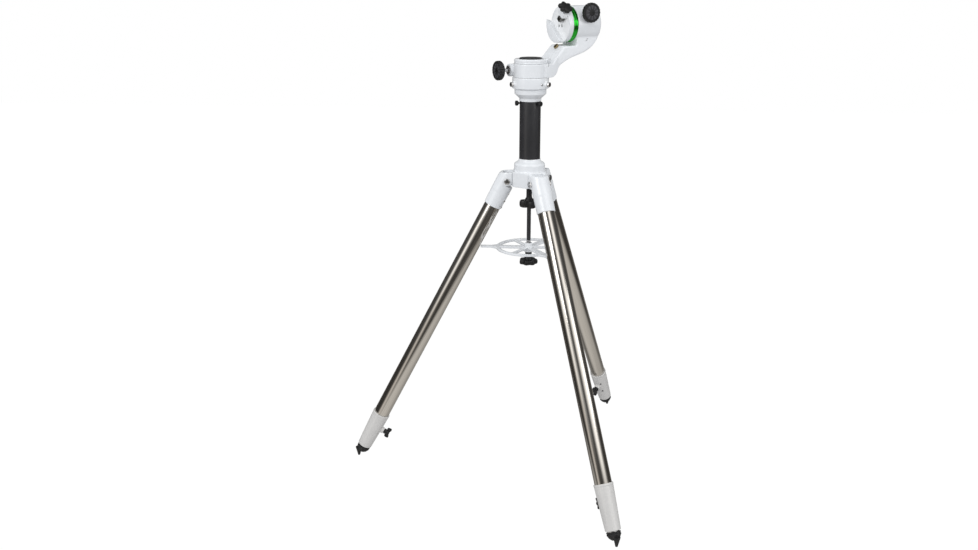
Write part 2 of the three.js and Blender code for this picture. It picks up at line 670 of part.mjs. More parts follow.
function makeArm() {
  const ring = bar(ARM_RING.radius, ARM_RING.bottom, ARM_RING.top, ROUND);
  const web = sidePlate(armProfile(), 2 * ARM_HALF_WIDTH, 5, 6);
  const azimuthBoss = alongX(bar(AZIMUTH_WORM.bossRadius, -AZIMUTH_WORM.bossEnd, -AZIMUTH_WORM.bossStart))
    .translate(0, AZIMUTH_WORM.offset, AZIMUTH_WORM.z);
  const altitudeBoss = alongY(bar(ALTITUDE_WORM.bossRadius, -ALTITUDE_WORM.bossEnd, -20))
    .translate(ALTITUDE_WORM.s, 0, ALTITUDE_Z + ALTITUDE_WORM.offset);
  const cavity = bar(ARM_RING.cavity, ARM_RING.floor, 1200);
  const capSeat = bar(CAP.radius + 0.8, ARM_RING.top, 1200);
  const spindleBore = bar(SPINDLE_RADIUS + GAP, ARM_RING.bottom - OVERCUT, ARM_RING.floor + OVERCUT);
  const wormBore = alongX(bar(WORM.bore, -60, 20, COARSE)).translate(0, AZIMUTH_WORM.offset, AZIMUTH_WORM.z);
  const altitudeCavity = alongX(bar(HOUSING.cavity, HOUSING.front, 200)).translate(0, 0, ALTITUDE_Z);
  const altitudeBore = alongX(bar(SPINDLE_RADIUS + GAP, 100, 130)).translate(0, 0, ALTITUDE_Z);
  const altitudeWormBore = alongY(bar(WORM.bore, -60, 20, COARSE))
    .translate(ALTITUDE_WORM.s, 0, ALTITUDE_Z + ALTITUDE_WORM.offset);
  const stopHole = stopBoltPlace(bar(STOP_BOLT.radius + GAP, -STOP_BOLT.length - 1, 6, COARSE));
  const spotFace = stopBoltPlace(bar(STOP_BOLT.headRadius + 0.6, 0.1, 12));
  const casting = join(ring, web, armRoot(), altitudeHousing(), azimuthBoss, altitudeBoss);
  return piece('arm', cut(
    casting,
    cavity,
    capSeat,
    spindleBore,
    wormBore,
    altitudeCavity,
    altitudeBore,
    altitudeWormBore,
    stopHole,
    spotFace,
  ), WHITE_PAINT);
}

function stopBoltPlace(geometry) {
  return geometry.rotateY(radians(STOP_BOLT.lean)).translate(STOP_BOLT.s, 0, STOP_BOLT.z);
}

function makeStopBolt() {
  const shank = bar(STOP_BOLT.radius, -STOP_BOLT.length, 1, COARSE);
  const head = plate(hexagon(STOP_BOLT.headRadius), 0.4, STOP_BOLT.headHeight);
  return piece('altitude_stop_bolt', stopBoltPlace(join(shank, head)), BRONZE);
}

function makeCap() {
  const { radius, bottom, top, plateRadius, plateTop } = CAP;
  const recess = top - 4;
  const cap = turned([
    [0, bottom],
    [radius, bottom],
    [radius, top - 1.5],
    [radius - 1.5, top],
    [plateRadius + GAP, top],
    [plateRadius + GAP, recess],
    [0, recess],
  ], ROUND);
  const insert = bar(plateRadius, recess + GAP, plateTop, ROUND);
  return [piece('azimuth_cap', cap, WHITE_PAINT), piece('azimuth_cap_plate', insert, BLACK_PLASTIC)];
}

// ---------------------------------------------------------------- altitude drive
// The altitude axis is drawn along +X from the azimuth axis.

function altitudeDriveParts() {
  const onAxis = (geometry) => alongX(geometry).translate(0, 0, ALTITUDE_Z);
  const { start, end } = CLUTCH_RING;
  const spindle = turned([
    [0, start],
    [CLUTCH_RING.bore - GAP, start],
    [CLUTCH_RING.bore - GAP, end - 5],
    [SPINDLE_RADIUS, end - 5],
    [SPINDLE_RADIUS, 168],
    [0, 168],
  ]);
  const screwHole = bar(SADDLE_SCREW.radius + GAP, start - OVERCUT, 114, COARSE);
  const screwHoles = SADDLE_SCREW_ANGLES.map((angle) => screwHole.clone()
    .translate(...saddleScrewOffset(angle, true)));
  const clutch = turned([
    [CLUTCH_RING.bore, start],
    [CLUTCH_RING.radius - 1, start],
    [CLUTCH_RING.radius, start + 1],
    [CLUTCH_RING.radius, end - 1],
    [CLUTCH_RING.radius - 1, end],
    [CLUTCH_RING.bore, end],
    [CLUTCH_RING.bore, start],
  ], ROUND);
  const wheel = wormWheel(ALTITUDE_WHEEL.radius, ALTITUDE_WHEEL.start, ALTITUDE_WHEEL.end, WHEEL_TEETH);
  const cover = turned([
    [0, HOUSING.end + GAP],
    [34, HOUSING.end + GAP],
    [34, HOUSING.end + 2.5],
    [32, HOUSING.end + 4],
    [0, HOUSING.end + 4],
  ]);
  const worm = piece('altitude_worm', wormShaft(ALTITUDE_SHAFT_END), BRIGHT_STEEL);
  const knob = piece('altitude_slow_motion_knob', slowMotionKnob(ALTITUDE_KNOB_START), BLACK_PLASTIC);
  const wormLine = group(worm, knob);
  wormLine.position.set(ALTITUDE_WORM.s, 0, ALTITUDE_Z + ALTITUDE_WORM.offset);
  wormLine.rotation.x = Math.PI / 2; // the shaft runs out along -Y
  return [
    piece('altitude_spindle', onAxis(cut(spindle, ...screwHoles)), BRIGHT_STEEL),
    piece('altitude_clutch_ring', onAxis(clutch), GREEN_ANODISED),
    piece('altitude_worm_wheel', onAxis(wheel), BRONZE),
    piece('altitude_spindle_nut', onAxis(spindleNut(151, 158)), BRIGHT_STEEL),
    piece('altitude_back_cover', onAxis(cover), WHITE_PAINT),
    wormLine,
  ];
}

// ---------------------------------------------------------------- saddle
// Built with the floor on z = 0 facing +Z, the dovetail channel along X and the clamp at +Y.

// Where a saddle screw lies; seen from behind, on the spindle, the pattern is mirrored.
function saddleScrewOffset(angle, fromBehind = false) {
  const bearing = radians(fromBehind ? angle + SADDLE.tilt : angle);
  const x = SADDLE_SCREW.circle * Math.cos(bearing);
  const y = SADDLE_SCREW.circle * Math.sin(bearing);
  return fromBehind ? [-y, -x, 0] : [x, y, 0];
}

function makeSaddle() {
  const { radius, thickness, jawHeight, jawFoot, jawLip } = SADDLE;
  const disc = turned([
    [0, -thickness],
    [radius - 1, -thickness],
    [radius, -thickness + 1],
    [radius, -1],
    [radius - 1, 0],
    [0, 0],
  ], ROUND);
  const proud = bar(radius, -2, jawHeight, ROUND);
  // The jaw's inner face leans over the channel, to hold a dovetail bar down.
  const jaw = common(proud, prismAlongX([
    [-60, -3],
    [-jawFoot, -3],
    [-jawFoot, RELIEF.depth],
    [-jawLip, jawHeight + 1],
    [-60, jawHeight + 1],
  ], 60));
  const bossBlock = block(-CLAMP.bossHalf, CLAMP.bossHalf, CLAMP.bossIn, 60, -2, jawHeight);
  const boss = common(proud, bossBlock);
  const screwBore = alongY(bar(4 + GAP, 20, 60, COARSE)).translate(0, 0, CLAMP.axisHeight);
  const relief = block(-60, 60, -jawFoot, RELIEF.width - jawFoot, -RELIEF.depth, RELIEF.depth);
  const trackHalf = MOVABLE_JAW.half + 1;
  const track = block(-trackHalf, trackHalf, RELIEF.trackStart, CLAMP.bossIn, -RELIEF.trackDepth, OVERCUT);
  const screwHoles = SADDLE_SCREW_ANGLES.flatMap((angle) => {
    const place = saddleScrewOffset(angle);
    return [
      bar(SADDLE_SCREW.radius + GAP, -thickness - OVERCUT, OVERCUT, COARSE).translate(...place),
      bar(SADDLE_SCREW.headRadius + GAP, -SADDLE_SCREW.headHeight - 1, OVERCUT, COARSE).translate(...place),
    ];
  });
  return piece('saddle', cut(join(disc, jaw, boss), screwBore, relief, track, ...screwHoles), WHITE_PAINT);
}

function makeSaddleScrew(angle, index) {
  const { radius, headRadius, headHeight, length } = SADDLE_SCREW;
  const shank = bar(radius, -length, -headHeight + 0.5, COARSE);
  const head = bar(headRadius, -headHeight, -0.6, COARSE);
  const socket = plate(hexagon(1.9), -2.6, OVERCUT);
  const mesh = piece(`saddle_screw_${index + 1}`, cut(join(shank, head), socket), BRIGHT_STEEL);
  mesh.position.set(...saddleScrewOffset(angle));
  return mesh;
}

function makeMovableJaw() {
  const { foot, lip, back, half, height } = MOVABLE_JAW;
  const base = GAP - RELIEF.trackDepth;
  const wedge = prismAlongX([[foot, base], [back, base], [back, height], [lip, height]], half);
  return piece('dovetail_movable_jaw', wedge, BRIGHT_STEEL);
}

function clampParts() {
  const screw = alongY(bar(4, MOVABLE_JAW.back + GAP, STAR_KNOB.end - 4, COARSE));
  const { reach, start, end } = STAR_KNOB;
  const grip = plate(lobedOutline(reach * 0.78, reach, 6, 6), start, end);
  const bore = bar(4 + GAP, start - OVERCUT, end - 3, COARSE);
  const knob = alongY(cut(grip, bore));
  const made = [
    piece('clamp_screw', screw, BRIGHT_STEEL),
    piece('clamp_knob', knob, BLACK_PLASTIC),
  ];
  made.forEach((mesh) => mesh.position.set(0, 0, CLAMP.axisHeight));
  return made;
}

function makeSaddleGroup() {
  const saddle = group(
    makeSaddle(),
    ...SADDLE_SCREW_ANGLES.map(makeSaddleScrew),
    makeMovableJaw(),
    ...clampParts(),
  );
  saddle.rotation.z = radians(SADDLE.tilt);
  const facing = group(saddle);
  facing.position.set(SADDLE_FACE, 0, ALTITUDE_Z);
  // The floor looks back towards the azimuth axis, with the saddle's own Y up at no tilt.
  const basis = new THREE.Matrix4().makeBasis(
    new THREE.Vector3(0, -1, 0),
    new THREE.Vector3(0, 0, 1),
    new THREE.Vector3(-1, 0, 0),
  );
  facing.quaternion.setFromRotationMatrix(basis);
  return facing;
}

// ---------------------------------------------------------------- assembly

const tripod = group(
  makeTripodHub(),
  makePillar(),
  makeRetainingRod(),
  makeRetainingKnob(),
  makeSpreader(),
  makeSpreaderKnob(),
  ...LEG_ANGLES.map(makeLeg),
  ...THUMBSCREW_ANGLES.map(makeThumbscrew),
);
const azimuthBase = group(makeHeadBase(), ...BASE_BOLT_ANGLES.map(makeBaseBolt));
const head = group(
  makeArm(),
  makeStopBolt(),
  ...makeCap(),
  ...azimuthDriveParts(),
  ...altitudeDriveParts(),
  makeSaddleGroup(),
);
head.rotation.z = radians(HEAD_AZIMUTH);

const mount = group(tripod, azimuthBase, head);
mount.updateMatrixWorld(true);
const footprint = new THREE.Box3().setFromObject(mount, true);
mount.position.set(
  -(footprint.min.x + footprint.max.x) / 2,
  -(footprint.min.y + footprint.max.y) / 2,
  -footprint.min.z,
);

export default mount;
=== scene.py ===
"""Looks of the alt azimuth mount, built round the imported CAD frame.

Pieces are modelled in millimetres in their own local frames and placed in metres. The azimuth axis
is the vertical line x = AXIS_X, y = 0 of the row frame.
"""

import math

import bmesh
import bpy
from mathutils import Matrix, Vector


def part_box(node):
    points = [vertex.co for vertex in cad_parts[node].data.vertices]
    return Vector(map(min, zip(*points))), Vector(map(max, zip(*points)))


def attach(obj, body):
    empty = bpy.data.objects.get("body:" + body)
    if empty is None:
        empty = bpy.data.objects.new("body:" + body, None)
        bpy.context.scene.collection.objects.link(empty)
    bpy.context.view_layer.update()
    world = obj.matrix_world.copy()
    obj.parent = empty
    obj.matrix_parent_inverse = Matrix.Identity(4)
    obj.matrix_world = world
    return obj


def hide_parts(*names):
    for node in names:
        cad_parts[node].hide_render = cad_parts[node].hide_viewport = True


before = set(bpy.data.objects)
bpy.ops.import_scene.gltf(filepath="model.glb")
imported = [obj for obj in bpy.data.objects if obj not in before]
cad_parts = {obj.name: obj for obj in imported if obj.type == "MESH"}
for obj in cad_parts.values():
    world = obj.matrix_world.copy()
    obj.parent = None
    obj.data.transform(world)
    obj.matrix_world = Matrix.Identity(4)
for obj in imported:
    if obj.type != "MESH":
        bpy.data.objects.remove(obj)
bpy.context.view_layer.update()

# ------------------------------------------------------------------ dimensions, millimetres

MM = 0.001
AXIS_X = (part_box("azimuth_cap")[0].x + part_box("azimuth_cap")[1].x) / 2  # metres
GAP = 0.3
ROUND = 120  # facets round a large turned part
FINE = 72
SMALL = 40

LEG_ANGLES = (180, 300, 60)
PIVOT_RADIUS = 57.5
LEG_RADIUS = 62  # middle of the leg tube at the height of the hinge
PIVOT_Z = 832
FOOT_RADIUS = 492.5
SPLAY = math.atan2(FOOT_RADIUS - LEG_RADIUS, PIVOT_Z)
LEG_LENGTH = math.hypot(FOOT_RADIUS - LEG_RADIUS, PIVOT_Z)
TUBE_RADIUS = 22.25
TUBE_WALL = 1.4
TUBE_TOP = 47
TUBE_BOTTOM = 796
INNER_RADIUS = 16
INNER_TOP = 270
INNER_BOTTOM = 900
LOCK_AT = 830
BRACKET_RADIUS = 25.5
PINCH_SCREW_TURN = 152  # degrees round the leg
SIDE_SCREW_TURN = -147

THUMBSCREW_ANGLES = (-42.5, 77.5, 197.5)
THUMBSCREW_Z = 1036.4
BASE_BOLT_ANGLES = (-28.5, 91.5, 211.5)
BASE_BOLT_Z = 1086
GRUB_SCREW_ANGLE = -49

HEAD_AZIMUTH = 32.5
ALTITUDE_Z = 1232.5
SADDLE_FACE = 87
SADDLE_TILT = -39
ARM_HALF_WIDTH = 36
ARM_BOTTOM = 1102.6
SHELF_Z = 1180  # top of the arm under the saddle
HOUSING_START = 113.7
HOUSING_END = 186
STOP_BOLT = (77, 0, 1176)
STOP_BOLT_LEAN = -46
AZIMUTH_WORM_OFFSET = 35
AZIMUTH_WORM_Z = 1119
ALTITUDE_WORM_S = 144
ALTITUDE_WORM_Z = ALTITUDE_Z + 30

# ------------------------------------------------------------------ places, metres


def place(x=0, y=0, z=0):
    return Matrix.Translation(Vector((x, y, z)) * MM)


def spin(degrees, axis):
    return Matrix.Rotation(math.radians(degrees), 4, axis)


ROW = Matrix.Translation((AXIS_X, 0, 0))
HEAD = ROW @ spin(HEAD_AZIMUTH, "Z")
ALONG_X = spin(90, "Y")
ALONG_Y = spin(-90, "X")
AZIMUTH_WORM = HEAD @ place(0, AZIMUTH_WORM_OFFSET, AZIMUTH_WORM_Z) @ spin(-90, "Y")
ALTITUDE_WORM = HEAD @ place(ALTITUDE_WORM_S, 0, ALTITUDE_WORM_Z) @ spin(90, "X")
SADDLE_BASIS = Matrix(((0, 0, -1, 0), (-1, 0, 0, 0), (0, 1, 0, 0), (0, 0, 0, 1)))
SADDLE = HEAD @ place(SADDLE_FACE, 0, ALTITUDE_Z) @ SADDLE_BASIS @ spin(SADDLE_TILT, "Z")


def hinge_matrix(angle):
    return ROW @ spin(angle, "Z") @ place(PIVOT_RADIUS, 0, PIVOT_Z)


def leg_matrix(angle):
    return ROW @ spin(angle, "Z") @ place(LEG_RADIUS, 0, PIVOT_Z) @ Matrix.Rotation(-SPLAY, 4, "Y")


# ------------------------------------------------------------------ mesh helpers


def new_object(bm):
    bmesh.ops.recalc_face_normals(bm, faces=bm.faces[:])
    mesh = bpy.data.meshes.new("part")
    bm.to_mesh(mesh)
    bm.free()
    obj = bpy.data.objects.new("part", mesh)
    bpy.context.scene.collection.objects.link(obj)
    return obj


def skin(rings, closed=False):
    """A closed solid through rings of points. A ring of one point is a tip."""
    bm = bmesh.new()
    loops = [[bm.verts.new(point) for point in ring] for ring in rings]
    pairs = list(zip(loops, loops[1:]))
    if closed:
        pairs.append((loops[-1], loops[0]))
    for low, high in pairs:
        count = max(len(low), len(high))
        if count == 1:
            continue
        for i in range(count):
            j = (i + 1) % count
            corners = (low[i % len(low)], low[j % len(low)], high[j % len(high)], high[i % len(high)])
            bm.faces.new(list(dict.fromkeys(corners)))
    if not closed:
        for end in (loops[0], loops[-1]):
            if len(end) > 2:
                bm.faces.new(end)
    return new_object(bm)


def eased(points, radius, steps=4, closed=False):
    """The outline with each corner turned into a small curve. Ends of an open outline stay."""
    made = []
    count = len(points)
    for i, point in enumerate(points):
        if not closed and i in (0, count - 1):
            made.append(tuple(point))
            continue
        corner = Vector(point)
        back = Vector(points[i - 1]) - corner
        ahead = Vector(points[(i + 1) % count]) - corner
        start = corner + back.normalized() * min(radius, back.length * 0.45)
        end = corner + ahead.normalized() * min(radius, ahead.length * 0.45)
        for k in range(steps + 1):
            t = k / steps
            made.append(tuple(start * (1 - t) ** 2 + corner * 2 * t * (1 - t) + end * t * t))
    return made


def lathe(points, facets=FINE):
    """A turned solid about Z from [radius, height] points round its section."""
    rings = []
    for radius, height in points:
        if radius == 0:
            rings.append([(0, 0, height)])
            continue
        angles = [2 * math.pi * i / facets for i in range(facets)]
        rings.append([(radius * math.cos(a), radius * math.sin(a), height) for a in angles])
    hollow = points[0][0] > 0 and points[-1][0] > 0
    return skin(rings, closed=hollow)


def bar(radius, z0, z1, end_radius=None, facets=FINE, edge=0.0):
    end = radius if end_radius is None else end_radius
    points = [(0, z0), (radius, z0), (end, z1), (0, z1)]
    return lathe(eased(points, edge) if edge else points, facets)


def tube(outer, inner, z0, z1, facets=ROUND, edge=0.3):
    points = [(inner, z0), (outer, z0), (outer, z1), (inner, z1)]
    return lathe(eased(points, edge, 2, closed=True), facets)


def slab(outline, z0, z1):
    return skin([[(x, y, z) for x, y in outline] for z in (z0, z1)])


def side_slab(outline, y0, y1):
    """A slab whose outline lies in the x, z plane."""
    return skin([[(x, y, z) for x, z in outline] for y in (y0, y1)])


def box(x0, x1, y0, y1, z0, z1):
    return slab([(x0, y0), (x1, y0), (x1, y1), (x0, y1)], z0, z1)


def polar(radius_at, levels, count):
    """A solid through levels [height, inset] of an outline whose radius depends on the angle."""
    rings = []
    for height, inset in levels:
        ring = []
        for i in range(count):
            angle = 2 * math.pi * i / count
            radius = radius_at(angle) - inset
            ring.append((radius * math.cos(angle), radius * math.sin(angle), height))
        rings.append(ring)
    return skin(rings)


def bezier(start, first, second, end, steps=10):
    """Points after start along a cubic curve."""
    made = []
    for k in range(1, steps + 1):
        t = k / steps
        weights = ((1 - t) ** 3, 3 * t * (1 - t) ** 2, 3 * t * t * (1 - t), t ** 3)
        corners = (start, first, second, end)
        made.append(tuple(sum(w * p[axis] for w, p in zip(weights, corners)) for axis in (0, 1)))
    return made


def hexagon(radius):
    return [(radius * math.cos(a), radius * math.sin(a)) for a in (math.pi * i / 3 for i in range(6))]


def moved(obj, x=0.0, y=0.0, z=0.0):
    obj.data.transform(Matrix.Translation((x, y, z)))
    return obj


def spun(obj, degrees, axis):
    obj.data.transform(spin(degrees, axis))
    return obj


def along_x(obj):
    return spun(obj, 90, "Y")


def along_y(obj):
    return spun(obj, -90, "X")


def bake(obj):
    """Applies the object's modifiers."""
    depsgraph = bpy.context.evaluated_depsgraph_get()
    mesh = bpy.data.meshes.new_from_object(obj.evaluated_get(depsgraph))
    obj.modifiers.clear()
    old = obj.data
    obj.data = mesh
    bpy.data.meshes.remove(old)
    return obj


def boolean(base, tools, operation):
    for tool in tools:
        modifier = base.modifiers.new(operation, "BOOLEAN")
        modifier.object = tool
        modifier.operation = operation
        modifier.solver = "MANIFOLD"
    bake(base)
    for tool in tools:
        bpy.data.objects.remove(tool)
    return base


def join(base, *tools):
    return boolean(base, tools, "UNION")


def cut(base, *tools):
    return boolean(base, tools, "DIFFERENCE")


def meet(base, *tools):
    return boolean(base, tools, "INTERSECT")


def soften(obj, width, segments=2, angle=32):
    """Rounds the edges sharper than the angle."""
    modifier = obj.modifiers.new("soften", "BEVEL")
    modifier.width = width
    modifier.segments = segments
    modifier.limit_method = "ANGLE"
    modifier.angle_limit = math.radians(angle)
    modifier.harden_normals = False
    return bake(obj)


def cast(obj, voxel, rounds):
    """One cast skin over joined shapes, with its corners and inner corners eased."""
    remesh = obj.modifiers.new("cast", "REMESH")
    remesh.mode = "VOXEL"
    remesh.voxel_size = voxel
    smooth = obj.modifiers.new("ease", "SMOOTH")
    smooth.factor = 0.5
    smooth.iterations = rounds
    return bake(obj)


def add_piece(obj, name, body, material, matrix=None, nodes=(), sharp=35):
    """Names and places a finished piece, gives it its material and lets it ride on a CAD body."""
    obj.name = name
    obj.data.name = name
    obj.data.transform(Matrix.Scale(MM, 4))
    obj.matrix_world = ROW if matrix is None else matrix
    obj.data.shade_smooth()
    obj.data.set_sharp_from_angle(angle=math.radians(sharp))
    obj.data.materials.clear()
    obj.data.materials.append(material)
    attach(obj, body)
    if nodes:
        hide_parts(*nodes)
    return obj


def copy_of(obj):
    made = bpy.data.objects.new("part", obj.data.copy())
    bpy.context.scene.collection.objects.link(made)
    return made


# ------------------------------------------------------------------ materials


class Nodes:
    """A small helper that adds and links shader nodes."""

    def __init__(self, name):
        self.material = bpy.data.materials.new(name)
        self.material.use_nodes = True
        self.tree = self.material.node_tree
        self.shader = self.tree.nodes["Principled BSDF"]
        self.where = self.add("ShaderNodeTexCoord").outputs["Object"]

    def add(self, kind, **values):
        node = self.tree.nodes.new(kind)
        for key, value in values.items():
            if hasattr(node, key):
                setattr(node, key, value)
            else:
                node.inputs[key.replace("_", " ")].default_value = value
        return node

    def link(self, output, target):
        self.tree.links.new(output, target)

    def stretched(self, scale):
        mapping = self.add("ShaderNodeMapping")
        mapping.inputs["Scale"].default_value = scale
        self.link(self.where, mapping.inputs["Vector"])
        return mapping.outputs["Vector"]

    def noise(self, scale, detail=3.0, vector=None):
        node = self.add("ShaderNodeTexNoise", Scale=scale, Detail=detail)
        self.link(self.where if vector is None else vector, node.inputs["Vector"])
        return node.outputs["Fac"]

    def ramp(self, value, low, high, start=0.3, end=0.7):
        """The value, from start to end, as a colour between low and high."""
        node = self.add("ShaderNodeValToRGB")
        stops = node.color_ramp.elements
        stops[0].position = start
        stops[1].position = end
        stops[0].color = (*low, 1)
        stops[1].color = (*high, 1)
        self.link(value, node.inputs["Fac"])
        return node.outputs["Color"]

    def spread(self, value, low, high, start=0.3, end=0.7):
        node = self.add("ShaderNodeMapRange")
        for key, number in zip(("From Min", "From Max", "To Min", "To Max"), (start, end, low, high)):
            node.inputs[key].default_value = number
        self.link(value, node.inputs["Value"])
        return node.outputs["Result"]

    def mix(self, factor, first, second):
        node = self.add("ShaderNodeMix", data_type="RGBA")
        self.link(factor, node.inputs["Factor"])
        self.link(first, node.inputs["A"])
        self.link(second, node.inputs["B"])
        return node.outputs["Result"]

    def flat(self, colour):
        node = self.add("ShaderNodeRGB")
        node.outputs[0].default_value = (*colour, 1)
        return node.outputs[0]

    def edges(self, start, end):
        """High on outer edges, from the mesh's own curvature."""
        point = self.add("ShaderNodeNewGeometry").outputs["Pointiness"]
        return self.spread(point, 0.0, 1.0, start, end)

    def bump(self, *layers):
        """Stacks (height, strength, distance) layers into the shader's normal."""
        normal = None
        for height, strength, distance in layers:
            node = self.add("ShaderNodeBump", Strength=strength, Distance=distance)
            self.link(height, node.inputs["Height"])
            if normal is not None:
                self.link(normal, node.inputs["Normal"])
            normal = node.outputs["Normal"]
        self.link(normal, self.shader.inputs["Normal"])

    def set(self, **values):
        for key, value in values.items():
            self.shader.inputs[key.replace("_", " ")].default_value = value

    def colour(self, output):
        self.link(output, self.shader.inputs["Base Color"])

    def roughness(self, output):
        self.link(output, self.shader.inputs["Roughness"])


def painted(name, tone, shade, edge_highlight, roughness, peel):
    """Stoved paint: faint mottling, a painted highlight on the outer edges, orange-peel skin under a clear
    gloss.
    """
    m = Nodes(name)
    body = m.ramp(m.noise(14, 4), shade, tone)
    # Outer edges take the lighter edge colour: a painted edge highlight.
    m.colour(m.mix(m.edges(0.53, 0.62), body, m.flat(edge_highlight)))
    m.roughness(m.spread(m.noise(60, 5), roughness * 0.8, roughness * 1.25))
    m.set(Coat_Weight=0.35, Coat_Roughness=0.08, Specular_IOR_Level=0.5)
    m.bump((m.noise(420, 2), peel, 0.0006), (m.noise(2600, 2), peel * 0.5, 0.0002))
    return m.material


def moulded(name, tone, highlight, roughness, grain):
    """Textured plastic: fine moulded grain and outer edges painted a little lighter as a painted highlight.
    """
    m = Nodes(name)
    body = m.ramp(m.noise(90, 4), tone, tuple(c * 1.35 for c in tone))
    # Outer edges take the highlight colour: a painted edge highlight.
    m.colour(m.mix(m.edges(0.54, 0.66), body, m.flat(highlight)))
    m.roughness(m.spread(m.noise(300, 3), roughness * 0.85, roughness * 1.15))
    m.bump((m.noise(2200, 3), grain, 0.0003), (m.noise(700, 2), grain * 0.5, 0.0004))
    return m.material


def metal(name, tone, shade, roughness, streaks, depth=0.06):
    """Bright metal with fine machining lines; streaks stretches them along each axis."""
    m = Nodes(name)
    lines = m.noise(1.0, 4, m.stretched(streaks))
    m.colour(m.ramp(lines, shade, tone, 0.25, 0.75))
    m.roughness(m.spread(m.noise(1.3, 5, m.stretched(streaks)), roughness * 0.75, roughness * 1.4))
    m.set(Metallic=1.0)
    m.bump((lines, depth, 0.0002))
    return m.material


def rubber():
    m = Nodes("black_rubber_dusty")
    dust = m.spread(m.noise(160, 6), 0.0, 1.0, 0.45, 0.75)
    m.colour(m.mix(dust, m.flat((0.012, 0.012, 0.013)), m.flat((0.035, 0.034, 0.032))))
    m.roughness(m.spread(m.noise(220, 4), 0.6, 0.85))
    m.bump((m.noise(1500, 4), 0.35, 0.0005))
    return m.material


def threaded():
    """Bright threaded rod: fine ridges round it, one above another along its own axis."""
    m = Nodes("threaded_steel")
    wave = m.add("ShaderNodeTexWave", wave_type="BANDS", bands_direction="Z", Scale=160.0, Distortion=0.6)
    m.link(m.where, wave.inputs["Vector"])
    # The colour follows the thread's height: darker in the grooves and lighter on the ridges, a painted
    # groove shade and ridge highlight.
    m.colour(m.ramp(wave.outputs["Fac"], (0.2, 0.2, 0.2), (0.62, 0.62, 0.63), 0.2, 0.8))
    m.roughness(m.spread(m.noise(120, 3), 0.2, 0.4))
    m.set(Metallic=1.0)
    m.bump((wave.outputs["Fac"], 0.7, 0.0008))
    return m.material


# The third colour of each paint is lighter than its tone: the painted highlight on its outer edges.
WHITE = painted("white_gloss_paint", (0.845, 0.862, 0.885), (0.80, 0.818, 0.842), (0.89, 0.9, 0.91),
                0.24, 0.10)
GREY = painted("grey_satin_paint", (0.69, 0.675, 0.655), (0.63, 0.617, 0.6), (0.76, 0.75, 0.73), 0.3, 0.14)
BLACK = painted("black_satin_paint", (0.026, 0.026, 0.03), (0.018, 0.018, 0.021), (0.05, 0.05, 0.055),
                0.5, 0.16)
# The second colour of each plastic is its painted edge highlight.
PLASTIC = moulded("black_textured_plastic", (0.006, 0.006, 0.007), (0.025, 0.025, 0.027), 0.5, 0.35)
FACE = moulded("grey_black_knob_face", (0.045, 0.045, 0.052), (0.11, 0.11, 0.12), 0.42, 0.4)
PLATE = moulded("black_cap_plate", (0.016, 0.017, 0.019), (0.05, 0.05, 0.055), 0.38, 0.2)
RUBBER = rubber()
TUBE = metal("polished_stainless", (0.66, 0.635, 0.60), (0.54, 0.515, 0.48), 0.11, (900, 900, 6), 0.03)
STEEL = metal("bright_machined_steel", (0.76, 0.76, 0.765), (0.5, 0.5, 0.51), 0.2, (260, 260, 1800), 0.1)
# The movable jaw's steel is darkened: painted shade for the shadow on it in the dovetail channel.
JAW_PAINTED_SHADE_STEEL = metal("steel_darkened_for_painted_shade", (0.23, 0.23, 0.22), (0.11, 0.11, 0.105), 0.34, (500, 500, 500), 0.1)
BRONZE = metal("machined_bronze", (0.42, 0.33, 0.18), (0.24, 0.18, 0.09), 0.32, (400, 400, 400), 0.1)
GREEN = metal("green_anodised", (0.04, 0.58, 0.05), (0.02, 0.36, 0.03), 0.2, (1500, 60, 60), 0.08)
THREAD = threaded()

# ------------------------------------------------------------------ knobs and screws


def hex_head(radius, z0, z1):
    """A hexagon head with its top corners turned away, and a flat washer face."""
    head = slab(hexagon(radius), z0, z1)
    cap = lathe([(0, z0 - 1), (radius * 1.1, z0 - 1), (radius * 1.1, z1 - radius * 0.13),
                 (radius * 0.87, z1), (0, z1)])
    return soften(meet(head, cap), 0.25)


def socket_head(radius, z0, z1, socket):
    """A round head with a hexagon socket and a fine knurl round its rim."""
    head = polar(lambda a: radius - 0.12 * (1 + math.cos(36 * a)) / 2,
                 [(z0, 0.3), (z0 + 0.4, 0), (z1 - 0.6, 0), (z1 - 0.15, 0.25), (z1, 0.6)], 144)
    return cut(head, slab(hexagon(socket), z1 - 0.6 * (z1 - z0), z1 + 1))


def fluted_knob(radius, thickness, start, flutes, depth):
    """A round hand knob with scalloped grips, a dished face, radial ribs and a centre boss."""
    def outline(angle):
        return radius - depth * (1 - abs(math.cos(angle * flutes / 2)) ** 0.6)
    top = start + thickness
    grip = polar(outline, [
        (start, radius * 0.55), (start + 0.3, radius * 0.14), (start + 2.2, 1.6), (start + 3.6, 0.35),
        (start + 5, 0), (top - 3.4, 0), (top - 1.8, 0.5), (top - 0.6, 1.6), (top, 3.2),
        (top - 0.3, 4.6), (top - 2.0, 5.8), (top - 2.1, radius * 0.5),
    ], flutes * 14)
    ribs = []
    for i in range(flutes // 2):
        rib = box(7.5, radius - 5.4, -0.7, 0.7, top - 3, top - 0.9)
        ribs.append(spun(rib, 360 * i / (flutes // 2), "Z"))
    boss = lathe(eased([(0, top - 3), (7.6, top - 3), (7.2, top - 0.4), (0, top - 0.4)], 0.6))
    knob = join(grip, boss, *ribs)
    dimple = bar(3.1, top - 1.6, top + 1, facets=SMALL)
    bore = bar(4.3, start - 1, start + 10, facets=SMALL)
    return cut(knob, dimple, bore)


